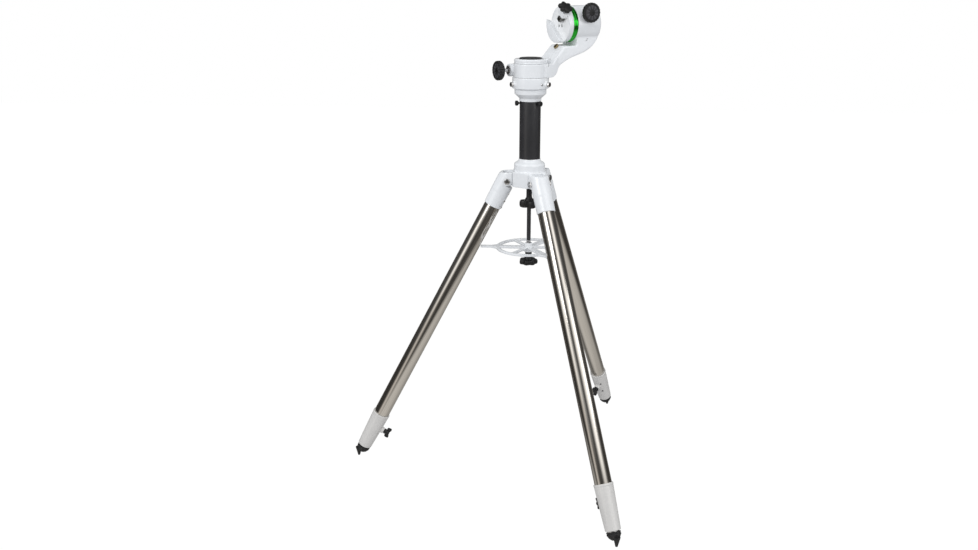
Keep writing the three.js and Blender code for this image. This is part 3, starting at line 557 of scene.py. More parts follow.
def star_knob(reach, inner, lobes, z0, z1, crown):
    """A moulded star grip: round lobes, rolled edges and a domed crown."""
    def outline(angle):
        wave = (1 + math.cos(angle * lobes)) / 2
        return inner + (reach - inner) * wave ** 0.75
    height = z1 - z0
    return polar(outline, [
        (z0 + 0.2, inner * 0.8), (z0, inner * 0.35), (z0 + height * 0.08, 1.6), (z0 + height * 0.25, 0.4),
        (z0 + height * 0.45, 0), (z0 + height * 0.7, 0.3), (z0 + height * 0.88, 1.4),
        (z0 + height * 0.97, 3.0), (z1, inner * 0.5), (z1 + crown, inner * 0.85),
    ], lobes * 20)


# ------------------------------------------------------------------ tripod hub and pillar


def hub_plan(wall, leg_wall):
    corners = []
    for side in range(6):
        angle = math.radians(side * 60)
        here, after = (wall, leg_wall) if side % 2 == 0 else (leg_wall, wall)
        along = (after - here * 0.5) / math.sin(math.radians(60))
        corners.append((here * math.cos(angle) - along * math.sin(angle),
                        here * math.sin(angle) + along * math.cos(angle)))
    return corners


def build_hub():
    body = slab(eased(hub_plan(46, 44), 5, 4, closed=True), 818, 858)
    collar = lathe([(0, 850), (41, 850), (41, 876), (38, 880), (30.5, 884), (29.5, 887), (0, 887)])
    tongues = []
    for angle in LEG_ANGLES:
        web = box(34, PIVOT_RADIUS, -15, 15, 819, 846)
        eye = moved(along_y(bar(13, -15, 15)), PIVOT_RADIUS, 0, PIVOT_Z)
        tongues.append(spun(join(web, eye), angle, "Z"))
    skirt = cast(join(body, collar, *tongues), 0.95, 7)
    neck = lathe(eased([(0, 880), (31, 880), (29.6, 884), (28.5, 891), (0, 891)], 0.6), ROUND)
    hollow = bar(32, 810, 846)
    rod_bore = bar(6.2, 810, 900, facets=SMALL)
    bolts = [spun(moved(along_y(bar(5.3, -20, 20, facets=SMALL)), PIVOT_RADIUS, 0, PIVOT_Z), angle, "Z")
             for angle in LEG_ANGLES]
    hub = cut(join(skirt, neck), hollow, rod_bore, *bolts)
    add_piece(hub, "tripod_hub_casting", "tripod_head_base", WHITE, nodes=["tripod_hub"])
    # A machined seat line where the pillar meets the hub.
    seat = tube(28.2, 26.4, 890.6, 891.28, edge=0.15)
    add_piece(seat, "pillar_seat_ring", "tripod_head_base", STEEL)


def build_pillar():
    profile = [(0, 891.4)] + eased([(26.9, 891.4), (27.7, 892.2), (27.7, 1039.8), (26.9, 1041),
                                    (25.5, 1041), (25.4, 1040), (25.4, 905.5)], 0.3, 2) + [(0, 905.5)]
    pillar = lathe(profile, ROUND)
    holes = [spun(moved(along_x(bar(2.9, 20, 32, facets=SMALL)), 0, 0, THUMBSCREW_Z), angle, "Z")
             for angle in THUMBSCREW_ANGLES]
    cut(pillar, bar(5.8, 880, 903, facets=SMALL), *holes)
    add_piece(pillar, "extension_pillar_tube", "tripod_head_base", BLACK,
              nodes=["extension_pillar"])


def build_thumbscrews():
    for number, angle in enumerate(THUMBSCREW_ANGLES, 1):
        grip = polar(lambda a: 6.6 - 0.45 * (1 - math.cos(16 * a)) / 2, [
            (33, 3.4), (33.1, 1.0), (33.7, 0.2), (34.4, 0), (38.8, 0), (39.5, 0.3), (39.9, 1.0),
            (40, 2.2), (39.4, 2.9), (39.3, 4.6),
        ], 160)
        shank = lathe([
            (0, 23.8), (2.1, 23.8), (2.5, 24.4), (2.5, 30.6), (3.6, 31), (3.6, 34), (0, 34),
        ], SMALL)
        screw = join(grip, shank)
        matrix = ROW @ spin(angle, "Z") @ place(z=THUMBSCREW_Z) @ ALONG_X
        add_piece(screw, f"pillar_thumbscrew_{number}_knurled", f"thumbscrew_{number}", PLASTIC,
                  matrix, [f"pillar_thumbscrew_{number}"])


# ------------------------------------------------------------------ centre rod, its knobs and the spreader


def build_rod():
    plain = lathe(eased([(0, 668), (5.1, 668), (5.5, 669), (5.5, 900.5), (5.1, 901), (0, 901)], 0.2), SMALL)
    add_piece(plain, "centre_rod_black", "retaining_screw", BLACK, nodes=["retaining_rod"])
    end = lathe([(0, 606), (4.6, 606), (5.4, 607.4), (5.4, 667.6), (0, 667.6)], SMALL)
    add_piece(end, "centre_rod_thread", "retaining_screw", THREAD)
    grip = spun(star_knob(26, 14, 3, 758, 778, 0.8), 180, "Z")
    neck = lathe(eased([(0, 770), (13, 770), (12.2, 779), (8.6, 784), (7.6, 788), (7.6, 806.5),
                        (6.8, 808), (0, 808)], 1.2), FINE)
    knob = cut(join(grip, neck), bar(5.8, 750, 812, facets=SMALL))
    add_piece(knob, "retaining_knob_grip", "retaining_screw", PLASTIC,
              nodes=["retaining_knob"])


def build_spreader():
    z, thickness, ring, width, boss = 643.5, 6, 88, 10, 14
    rim = lathe(eased([(ring - width, z), (ring, z), (ring, z + thickness), (ring - width, z + thickness)],
                      1.2, 3, closed=True), ROUND)
    hub = bar(boss, z - 8, z + 16, end_radius=boss - 4)
    parts = [hub]
    for angle in LEG_ANGLES:
        arm = slab(eased([(0, -8.5), (ring, -8.5), (ring + 14, -5.3), (130.6, -5.3),
                          (130.6, 5.3), (ring + 14, 5.3), (ring, 8.5), (0, 8.5)], 2.5, 3, closed=True),
                   z, z + thickness)
        flare = slab([(ring - width, -26), *bezier((ring - width, -26), (ring - 2, -16), (ring + 8, -7),
                                                   (ring + 18, -4.5)),
                      *bezier((ring + 18, 4.5), (ring + 8, 7), (ring - 2, 16), (ring - width, 26)),
                      (ring - width, 26)][1:-1], z, z + thickness)
        spoke = box(0, ring - 2, -4.5, 4.5, z, z + thickness)
        parts += [spun(arm, angle, "Z"), spun(flare, angle, "Z"), spun(spoke, angle + 180, "Z")]
    tray = cast(join(rim, *parts), 0.8, 5)
    cut(tray, bar(6.0, z - 12, z + 20, facets=SMALL))
    add_piece(tray, "spreader_tray", "spreader", WHITE, nodes=["spreader"])
    grip = star_knob(25.5, 21, 7, 600, 614, -1.0)
    neck = lathe(eased([(0, 610), (13.5, 610), (12, 616), (9.6, 622), (9, 626), (9, 634.6), (8.4, 635.2),
                        (0, 635.2)], 1.0), FINE)
    knob = cut(join(grip, neck), bar(5.8, 604.5, 640, facets=SMALL))
    add_piece(knob, "spreader_knob_grip", "spreader_nut", PLASTIC,
              nodes=["spreader_knob"])


# ------------------------------------------------------------------ legs, built hanging from the hinge


def hung(x, z):
    """A place given with the leg spread, in the hanging leg's own x and z."""
    return (x * math.cos(SPLAY) + z * math.sin(SPLAY), z * math.cos(SPLAY) - x * math.sin(SPLAY))


def upper_bracket_outline():
    """Cheeks seen from the side: level on top with the leg spread, upright beside the hub."""
    reach, top, radius, eye = 17.7, 22.5, BRACKET_RADIUS, 13.2
    pivot_x, pivot_z = hung(PIVOT_RADIUS - LEG_RADIUS, 0)
    points = [hung(-reach, top), hung(-reach, 0)]
    for k in range(1, 11):
        a = math.pi - SPLAY + math.pi / 2 * k / 10
        points.append((pivot_x + eye * math.cos(a), pivot_z + eye * math.sin(a)))
    points += [hung(5, -eye), (0, -34), (radius, -34), (radius, 6), (radius - 0.6, 9), (radius - 2.6, 12.4)]
    return points + [hung(15, top - 1.2), hung(11, top)]


def upper_bracket_mesh():
    radius = BRACKET_RADIUS
    flat = side_slab(upper_bracket_outline(), -radius, radius)
    outline = join(bar(radius, -44, 60), box(-60, 0, -radius, radius, -44, 60))
    cheeks = meet(flat, outline)
    socket = bar(24.4, -78, -12.2, end_radius=radius, edge=1.2)
    bracket = cast(join(cheeks, socket), 0.95, 6)
    seam = box(-30, -20, -0.7, 0.7, -90, -13)
    slot = box(-60, 17, -15.4, 15.4, -12.2, 60)
    bore = bar(TUBE_RADIUS + GAP, -90, -TUBE_TOP + GAP, facets=ROUND)
    bolt_x, bolt_z = hung(PIVOT_RADIUS - LEG_RADIUS, 0)
    bolt = moved(along_y(bar(5.3, -60, 60, facets=SMALL)), bolt_x, 0, bolt_z)
    return cut(bracket, slot, bore, bolt, seam)


def lower_bracket_mesh():
    shell = lathe(eased([
        (0, -897), (19.2, -897), (20, -896), (21.4, -867), (24.0, -803), (24.4, -789), (24.4, -786.5),
        (25.2, -785), (25.2, -781.4), (24.6, -780), (0, -780),
    ], 1.4, 4), ROUND)
    boss = lathe(eased([(0, -30), (8.2, -30), (9, -29), (9.6, -18), (0, -18)], 0.8))
    boss = moved(along_x(boss), z=-LOCK_AT)
    shell = join(shell, boss)
    return cut(
        shell,
        bar(TUBE_RADIUS + GAP, -796.3, -770, facets=ROUND),
        bar(INNER_RADIUS + GAP, -910, -790, facets=ROUND),
        moved(along_x(bar(4.3, -40, 0, facets=SMALL)), z=-LOCK_AT),
    )


def lock_knob_mesh():
    """A winged hand screw along +Z, its wings along X."""
    wings = side_slab(eased([
        (-14.5, 41), (-12, 37), (-6, 38.4), (6, 38.4), (12, 37), (14.5, 41), (14.5, 49),
        (11.5, 51), (5, 47.4), (-5, 47.4), (-11.5, 51), (-14.5, 49),
    ], 2.2, 4, closed=True), -4.5, 4.5)
    wings = soften(wings, 1.6, 3)
    boss = lathe(eased([(0, 31), (7.5, 31), (7.5, 38), (6.4, 48), (0, 48)], 0.9), FINE)
    shank = lathe([(0, 16.4), (3.4, 16.4), (4, 17.2), (4, 33), (0, 33)], SMALL)
    return join(wings, boss, shank)


def foot_mesh():
    bottom = LEG_LENGTH
    cap = lathe(eased([
        (0, -bottom + 15), (8, -bottom + 16), (14.6, -bottom + 22), (17.4, -bottom + 27.6),
        (18.5, -bottom + 29), (18.5, -bottom + 31.4), (17.6, -bottom + 32.2), (17.6, -bottom + 33.2),
        (18.5, -bottom + 34), (18.5, -900.3), (13.4, -900.3), (13.4, -878.3), (0, -878.3),
    ], 0.8, 3), FINE)
    spike = bar(3.0, 0, 26, end_radius=9.4, facets=SMALL, edge=0.5)
    spike.data.transform(Matrix.Rotation(SPLAY, 4, "Y"))
    return join(cap, moved(spike, z=-bottom))


def build_legs():
    bracket = upper_bracket_mesh()
    lower = lower_bracket_mesh()
    lock = lock_knob_mesh()
    foot = foot_mesh()
    outer = tube(TUBE_RADIUS, TUBE_RADIUS - TUBE_WALL, -TUBE_BOTTOM, -TUBE_TOP)
    inner = tube(INNER_RADIUS, INNER_RADIUS - 1.5, -INNER_BOTTOM, -INNER_TOP)
    for number, angle in enumerate(LEG_ANGLES, 1):
        leg = leg_matrix(angle)
        body = f"leg_{number}"
        name = f"leg_{number}_"
        lock_place = leg @ place(z=-LOCK_AT) @ spin(-90, "Y")
        add_piece(copy_of(bracket), name + "bracket_casting", body, WHITE, leg,
                  [name + "upper_bracket"])
        add_piece(copy_of(outer), name + "polished_tube", body, TUBE, leg,
                  [name + "outer_tube"])
        add_piece(copy_of(lower), name + "socket_casting", body, GREY, leg,
                  [name + "lower_bracket"])
        add_piece(copy_of(inner), name + "sliding_tube", body + "_extension", STEEL, leg,
                  [name + "inner_tube"])
        add_piece(copy_of(foot), name + "rubber_foot", body + "_extension", RUBBER, leg,
                  [name + "foot"])
        add_piece(copy_of(lock), name + "lock_wings", body + "_lock", PLASTIC, lock_place,
                  [name + "lock_knob"])
        build_leg_screws(leg, name, body)
        build_hinge_bolt(angle, name)
    for made in (bracket, lower, lock, foot, outer, inner):
        bpy.data.objects.remove(made)


def build_leg_screws(leg, name, body):
    """Small socket screws: three that pinch the upper bracket, two that pin the lower bracket."""
    for index, z in enumerate((-29, -52, -71), 1):
        screw = socket_head(3.0, 23.6, 27.4, 1.5)
        add_piece(screw, f"{name}pinch_screw_{index}", body, STEEL,
                  leg @ place(z=z) @ spin(PINCH_SCREW_TURN, "Z") @ ALONG_X)
    for index, z in enumerate((-816, -850), 1):
        screw = socket_head(2.6, 20.4, 24.6 if index == 1 else 23.4, 1.2)
        add_piece(screw, f"{name}side_screw_{index}", body, PLASTIC,
                  leg @ place(z=z) @ spin(SIDE_SCREW_TURN, "Z") @ ALONG_X)


def build_hinge_bolt(angle, name):
    start = 25.8
    head = hex_head(8.5, start, start + 5.5)
    shank = lathe([(0, -30.8), (4.4, -30.8), (5, -30), (5, start + 1), (0, start + 1)], SMALL)
    bolt = join(head, shank)
    matrix = hinge_matrix(angle) @ ALONG_Y
    add_piece(bolt, name + "hinge_bolt_hex", "tripod_head_base", STEEL, matrix,
              [name + "hinge_bolt"])
    nut = cut(hex_head(8.5, 25.8, 30.8), bar(5.3, 20, 40, facets=SMALL))
    add_piece(nut, name + "hinge_nut_hex", "tripod_head_base", STEEL,
              matrix @ spin(180, "X"), [name + "hinge_nut"])


# ------------------------------------------------------------------ azimuth base


def build_azimuth_base():
    body = lathe([
        (0, 1016), *eased([
            (24, 1016), (25.1, 1018), (25.1, 1031), (23, 1032.6), (23, 1039.8), (25.1, 1040.6),
            (25.1, 1041.3),
            (28.6, 1041.3), (28.6, 1048), (30, 1050), (41.4, 1060.5), (41.4, 1071.5), (39.8, 1073),
            (39.8, 1074.5), (46.6, 1074.5), (47.5, 1075.6), (47.5, 1101), (46.4, 1102.3),
        ], 0.7, 3), (0, 1102.3),
    ], 144)
    bosses = []
    bores = []
    for angle in BASE_BOLT_ANGLES:
        boss = along_x(lathe(eased([(0, 38), (9, 38), (8, 50.6), (7.2, 51.7), (0, 51.7)], 0.8), FINE))
        bosses.append(spun(moved(boss, z=BASE_BOLT_Z), angle, "Z"))
        bores.append(spun(moved(along_x(bar(3.3, 41, 60, facets=SMALL)), z=BASE_BOLT_Z), angle, "Z"))
    # Cast flutes round the cone under the ring.
    flutes = []
    for i in range(24):
        flute = bar(2.2, -9, 9, facets=24)
        flute = moved(spun(flute, 46, "Y"), 37.4, 0, 1053.2)
        flutes.append(spun(flute, i * 15, "Z"))
    base = join(body, *bosses)
    cut(base, *flutes)
    cut(base, *bores, bar(18, 1010, 1060), bar(12.3, 1065, 1105, facets=FINE))
    soften(base, 0.35, 2, 40)
    add_piece(base, "azimuth_base_casting", "tripod_head_base", WHITE,
              nodes=["azimuth_base"])
    for number, angle in enumerate(BASE_BOLT_ANGLES, 1):
        head = socket_head(6.2, 52, 58, 2.6)
        shank = lathe([(0, 42), (2.6, 42), (3, 42.6), (3, 53), (0, 53)], SMALL)
        matrix = ROW @ spin(angle, "Z") @ place(z=BASE_BOLT_Z) @ ALONG_X
        add_piece(join(head, shank), f"azimuth_base_bolt_{number}_socket", "tripod_head_base", STEEL,
                  matrix, [f"azimuth_base_bolt_{number}"])
    grub = socket_head(3.2, 45.5, 48.3, 1.6)
    add_piece(grub, "azimuth_ring_grub_screw", "tripod_head_base", STEEL,
              ROW @ spin(GRUB_SCREW_ANGLE, "Z") @ place(z=BASE_BOLT_Z) @ ALONG_X)


# ------------------------------------------------------------------ arm


def arm_outline():
    """Side view of the swan-neck arm: distance from the azimuth axis, and height."""
    points = [(20, ARM_BOTTOM), (38, ARM_BOTTOM)]
    points += bezier((38, ARM_BOTTOM), (51, ARM_BOTTOM), (58, 1112), (61, 1123))
    points += bezier((61, 1123), (64, 1132), (74, 1137.5), (98, 1149))
    points += [(138, 1162)]
    points += bezier((138, 1162), (154, 1168), (171, 1180), (180, 1198))
    points += [(HOUSING_END - 3, 1210), (HOUSING_END - 3, ALTITUDE_Z), (HOUSING_START + 8, ALTITUDE_Z),
               (HOUSING_START + 2, SHELF_Z), (81, SHELF_Z), (63, 1160.5)]
    points += bezier((63, 1160.5), (58, 1152), (50, 1146), (45, 1137))
    points += [(20, 1137)]
    return points


def arm_root():
    """The root of the arm, as wide as the ring where it leaves it."""
    side = [(0, 44.5), (16, 43.2), (30, 41.4), (44, 39.4), (60, 36.6), (82, 30)]
    mirrored = [(s, -half) for s, half in reversed(side)]
    plan = slab(eased(side + mirrored, 6, 4, closed=True), ARM_BOTTOM - 1, SHELF_Z + 1)
    return soften(meet(side_slab(arm_outline(), -46, 46), plan), 6, 4, 40)


def arc_block(inner, outer, start, end, z0, z1, steps=12):
    """A block that bends round Z between two bearings."""
    rings = []
    for k in range(steps + 1):
        a = math.radians(start + (end - start) * k / steps)
        corners = ((inner, z0), (outer, z0), (outer, z1), (inner, z1))
        rings.append([(r * math.cos(a), r * math.sin(a), z) for r, z in corners])
    return skin(rings)


def arm_slot(length, width, depth):
    """A short slot with round ends, sunk along its own Z."""
    outline = [(-length / 2, -width / 2), (length / 2, -width / 2), (length / 2, width / 2),
               (-length / 2, width / 2)]
    return slab(eased(outline, width * 0.45, 3, closed=True), -depth, depth)


def build_arm():
    ring = bar(44.5, ARM_BOTTOM, 1137, facets=ROUND)
    web = soften(side_slab(arm_outline(), -ARM_HALF_WIDTH, ARM_HALF_WIDTH), 8, 4, 40)
    housing = moved(along_x(lathe(eased([
        (0, HOUSING_START), (47, HOUSING_START), (47, HOUSING_END - 9), (45.5, HOUSING_END - 4.5),
        (42.5, HOUSING_END - 1.5), (38, HOUSING_END), (0, HOUSING_END),
    ], 3, 4), ROUND)), z=ALTITUDE_Z)
    azimuth_boss = moved(along_x(bar(16.2, -46, 30, edge=1.5)), 0, AZIMUTH_WORM_OFFSET, AZIMUTH_WORM_Z)
    altitude_boss = moved(along_y(bar(12.5, -47, -20, edge=1.5)), ALTITUDE_WORM_S, 0, ALTITUDE_WORM_Z)
    casting = cast(join(ring, web, arm_root(), housing, azimuth_boss, altitude_boss), 1.15, 8)
    cut(casting, *arm_bores(), *arm_openings())
    soften(casting, 0.5, 2, 50)
    add_piece(casting, "arm_casting", "arm", WHITE, HEAD, ["arm"])


def arm_bores():
    """Tools for the seats of the ring, the housing and the two worms."""
    def worm_bore():
        return bar(6.8, -60, 20, facets=SMALL)
    return [
        bar(31, 1109, 1200, facets=ROUND),
        bar(43.8, 1137, 1200, facets=ROUND),
        bar(70, 1080, ARM_BOTTOM),
        bar(12.3, 1095, 1112),
        moved(along_x(worm_bore()), 0, AZIMUTH_WORM_OFFSET, AZIMUTH_WORM_Z),
        moved(along_y(worm_bore()), ALTITUDE_WORM_S, 0, ALTITUDE_WORM_Z),
        moved(along_x(bar(31, HOUSING_START + 7.3, 200, facets=ROUND)), z=ALTITUDE_Z),
        moved(along_x(bar(70, 86, HOUSING_START, facets=ROUND)), z=ALTITUDE_Z + 24.5),
        moved(along_x(bar(12.3, 100, 130)), z=ALTITUDE_Z),
    ]


def arm_openings():
    """Tools for the stop bolt's seat, the pockets round the cap and the two slots."""
    seat = spun(bar(7.8, 0.1, 12, facets=SMALL), STOP_BOLT_LEAN, "Y")
    hole = spun(bar(4.3, -15, 6, facets=SMALL), STOP_BOLT_LEAN, "Y")
    upper_slot = spun(spun(arm_slot(8, 2.6, 5), 90, "Z"), STOP_BOLT_LEAN, "Y")
    side_slot = spun(spun(arm_slot(10, 2.4, 6), 45, "Z"), 90, "X")
    return [
        moved(seat, *STOP_BOLT),
        moved(hole, *STOP_BOLT),
        moved(upper_slot, 71, -10, 1169),
        moved(side_slot, 146, -ARM_HALF_WIDTH, 1194),
        arc_block(40, 53, -24, 10, 1141.5, 1149),
        arc_block(40, 51, -57, -32, 1131, 1141),
    ]


def build_arm_fittings():
    bolt = join(hex_head(7.2, 0.4, 5.0), lathe([(0, -14), (3.4, -14), (4, -13.2), (4, 1), (0, 1)], SMALL))
    add_piece(bolt, "altitude_stop_bolt_head", "arm", BRONZE,
              HEAD @ place(*STOP_BOLT) @ spin(STOP_BOLT_LEAN, "Y"), ["altitude_stop_bolt"])
    cap = lathe(eased([
        (0, 1137.3), (42.2, 1137.3), (43, 1138.2), (43, 1140.4), (42.3, 1141.2), (43, 1142), (43, 1146.8),
        (41, 1149), (30.4, 1149), (30, 1148.6), (30, 1145), (0, 1145),
    ], 0.7, 3), 144)
    add_piece(cap, "azimuth_cap_ring", "arm", WHITE, HEAD, ["azimuth_cap"])
    plate = lathe(eased([(0, 1145.3), (29.2, 1145.3), (29.7, 1146), (29.7, 1150.6), (28.2, 1152),
                         (26.5, 1151.3), (0, 1151.2)], 0.5, 3), 144)
    add_piece(plate, "azimuth_cap_insert", "arm", PLATE, HEAD, ["azimuth_cap_plate"])
    cover = lathe(eased([
        (0, 0.3), (34, 0.3), (34, 2.4), (32, 4), (26, 4), (25, 3.2), (0, 3.2),
    ], 0.8, 3), ROUND)
    add_piece(cover, "altitude_back_cap", "arm", WHITE,
              HEAD @ place(HOUSING_END, 0, ALTITUDE_Z) @ ALONG_X, ["altitude_back_cover"])
    build_bush(AZIMUTH_WORM, 46.2, 11.5, "azimuth_worm_bush")
    build_bush(ALTITUDE_WORM, 45.4, 8.5, "altitude_worm_bush")


def build_bush(matrix, start, radius, name):
    """The screwed bush that holds a worm shaft in its boss."""
    top = start + 1.6
    bush = polar(lambda a: radius - 0.5 * (1 - math.cos(8 * a)) / 2, [
        (start, 1), (start + 0.1, 0.2), (top - 0.4, 0.1), (top, 0.6), (top + 0.01, radius * 0.3),
    ], 128)
    cut(bush, bar(6.2, start - 1, top + 1, facets=SMALL))
    add_piece(bush, name, "arm", STEEL, matrix)


def build_worms():
    for matrix, end, knob_at, name in (
        (AZIMUTH_WORM, 76, 67, "azimuth"),
        (ALTITUDE_WORM, 56.6, 47.6, "altitude"),
    ):
        points = [(0, -19), (3.6, -19), (4, -18.6), (4, -13)]
        for i in range(8):
            start = -13 + i * 3.25
            points += [(4.6, start + 0.4), (6, start + 1.2), (6, start + 2.0), (4.6, start + 2.9)]
        points += [(4, 13), (4, end - 0.4), (3.6, end), (0, end)]
        worm = lathe(points, FINE)
        add_piece(worm, name + "_worm_shaft", name + "_control", STEEL, matrix,
                  [name + "_worm"])
        knob = fluted_knob(25, 15, knob_at, 20, 1.2)
        add_piece(knob, name + "_fluted_knob", name + "_control", PLASTIC, matrix,
                  [name + "_slow_motion_knob"])
        top = knob_at + 15
        inlay = tube(18.6, 8.0, top - 2.0, top - 1.75, edge=0.08)
        ribs = [spun(box(8.2, 18.4, -0.45, 0.45, top - 1.9, top - 0.7), 36 * i + 18, "Z")
                for i in range(10)]
        add_piece(join(inlay, *ribs), name + "_knob_face", name + "_control", FACE, matrix)


# ------------------------------------------------------------------ saddle


def build_saddle():
    radius, thickness, jaw_height = 46, 13.2, 15
    foot, lip = 22.5, 18

    def proud():
        return bar(radius, -2, jaw_height, facets=144, edge=1.0)

    disc = lathe(eased([(0, -thickness), (radius, -thickness), (radius, 0), (0, 0)], 1.0, 3), 144)
    section = ((-60, -3), (-foot, -3), (-foot, 1.2), (-lip, 16), (-60, 16))
    wedge = skin([[(x, y, z) for y, z in section] for x in (-60, 60)])
    jaw = soften(meet(proud(), wedge), 0.7, 3)
    boss = soften(meet(proud(), box(-13, 13, 31, 60, -2, jaw_height)), 1.0, 3)
    saddle = join(disc, jaw, boss)
    tools = [
        moved(along_y(bar(4.3, 20, 60, facets=SMALL)), z=8),
        box(-60, 60, -foot, 3 - foot, -1.2, 1.2),
        box(-7.5, 7.5, 11.5, 31, -0.8, 1),
    ]
    for number, angle in enumerate((10, 130, 250), 1):
        x = 8 * math.cos(math.radians(angle))
        y = 8 * math.sin(math.radians(angle))
        tools.append(moved(bar(2.3, -thickness - 1, 1, facets=SMALL), x, y))
        tools.append(moved(bar(3.7, -5, 1, facets=SMALL), x, y))
        head = socket_head(3.4, -4, -0.6, 1.7)
        screw = join(head, bar(2, -22, -3.6, facets=SMALL))
        add_piece(screw, f"saddle_screw_{number}_socket", "saddle_head", STEEL,
                  SADDLE @ place(x, y), [f"saddle_screw_{number}"])
    cut(saddle, *tools)
    soften(saddle, 0.3, 2, 50)
    add_piece(saddle, "saddle_casting", "saddle_head", WHITE, SADDLE, ["saddle"])
    clutch = lathe(eased([(32, 100.5), (46, 100.5), (46, 105.2), (45.4, 106), (46, 106.8), (46, 113.4),
                          (32, 113.4)], 0.9, 4, closed=True), 160)
    add_piece(clutch, "altitude_clutch_ring_green", "saddle_head", GREEN,
              HEAD @ place(z=ALTITUDE_Z) @ ALONG_X, ["altitude_clutch_ring"])


def build_clamp():
    section = ((17, -0.5), (24, -0.5), (24, 13), (12.5, 13))
    wedge = skin([[(x, y, z) for y, z in section] for x in (-6.5, 6.5)])
    # The movable jaw is coloured dark steel: painted shade for the shadow that falls on it in the dovetail
    # channel.
    add_piece(soften(wedge, 0.7, 3), "movable_jaw_wedge", "clamp_jaw", JAW_PAINTED_SHADE_STEEL, SADDLE,
              ["dovetail_movable_jaw"])
    axis = SADDLE @ place(z=8) @ ALONG_Y
    screw = lathe([(0, 24.3), (3.6, 24.3), (4, 24.8), (4, 58), (0, 58)], SMALL)
    add_piece(screw, "clamp_screw_shank", "clamp_handle", STEEL, axis, ["clamp_screw"])
    grip = star_knob(19.5, 14.2, 6, 50.5, 61.2, 0.6)
    cut(grip, bar(4.3, 49, 58.6, facets=SMALL))
    add_piece(grip, "clamp_star_knob", "clamp_handle", PLASTIC, axis, ["clamp_knob"])


# ------------------------------------------------------------------ hidden machinery kept from the CAD


def dress_cad_nodes():
    looks = {
        "azimuth_spindle": STEEL, "azimuth_spindle_nut": STEEL, "altitude_spindle": STEEL,
        "altitude_spindle_nut": STEEL, "azimuth_worm_wheel": BRONZE, "altitude_worm_wheel": BRONZE,
    }
    for name, material in looks.items():
        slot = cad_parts[name].material_slots[0]
        slot.link = "OBJECT"
        slot.material = material


# ------------------------------------------------------------------ studio


# Brightness of what a mirror would show, by bearing in degrees: 0 towards the viewer, positive right.
# Read off the bands on the steel tubes in the reference picture, rounded, then adjusted. They
# stand for that one studio and show only in glossy reflections.
GROUND_PANELS = [
    (-180, 0.4), (-130, 0.15), (-112, 0.55), (-85, 0.72), (0, 0.75), (60, 0.68), (85, 0.58), (115, 0.5),
    (140, 0.4), (180, 0.4),
]
HORIZON_PANELS = [
    (-180, 0.3), (-150, 0.15), (-129, 0.06), (-86, 0.04), (-66, 0.1), (-50, 0.8), (-40, 0.6), (-30, 0.16),
    (-20, 0.08), (0, 0.06), (20, 0.1), (90, 0.06), (115, 0.05), (135, 0.12), (155, 0.28), (180, 0.3),
]
HIGH_PANELS = [
    (-180, 0.2), (-120, 0.08), (-90, 0.08), (-76, 0.12), (-66, 0.4), (-52, 1.5), (-42, 1.5), (-25, 0.55),
    (-10, 0.12), (-2, 0.1), (8, 0.2), (23, 1.0), (34, 1.6), (52, 1.6), (72, 0.45), (86, 0.13), (96, 0.1),
    (116, 0.07), (180, 0.2),
]
HORIZON_FROM = (-0.62, -0.4)  # heights of the direction between which one list gives way to the next
HIGH_FROM = (-0.05, 0.2)
LIGHT_TARGET = (0.122, 0, 0.8)  # metres


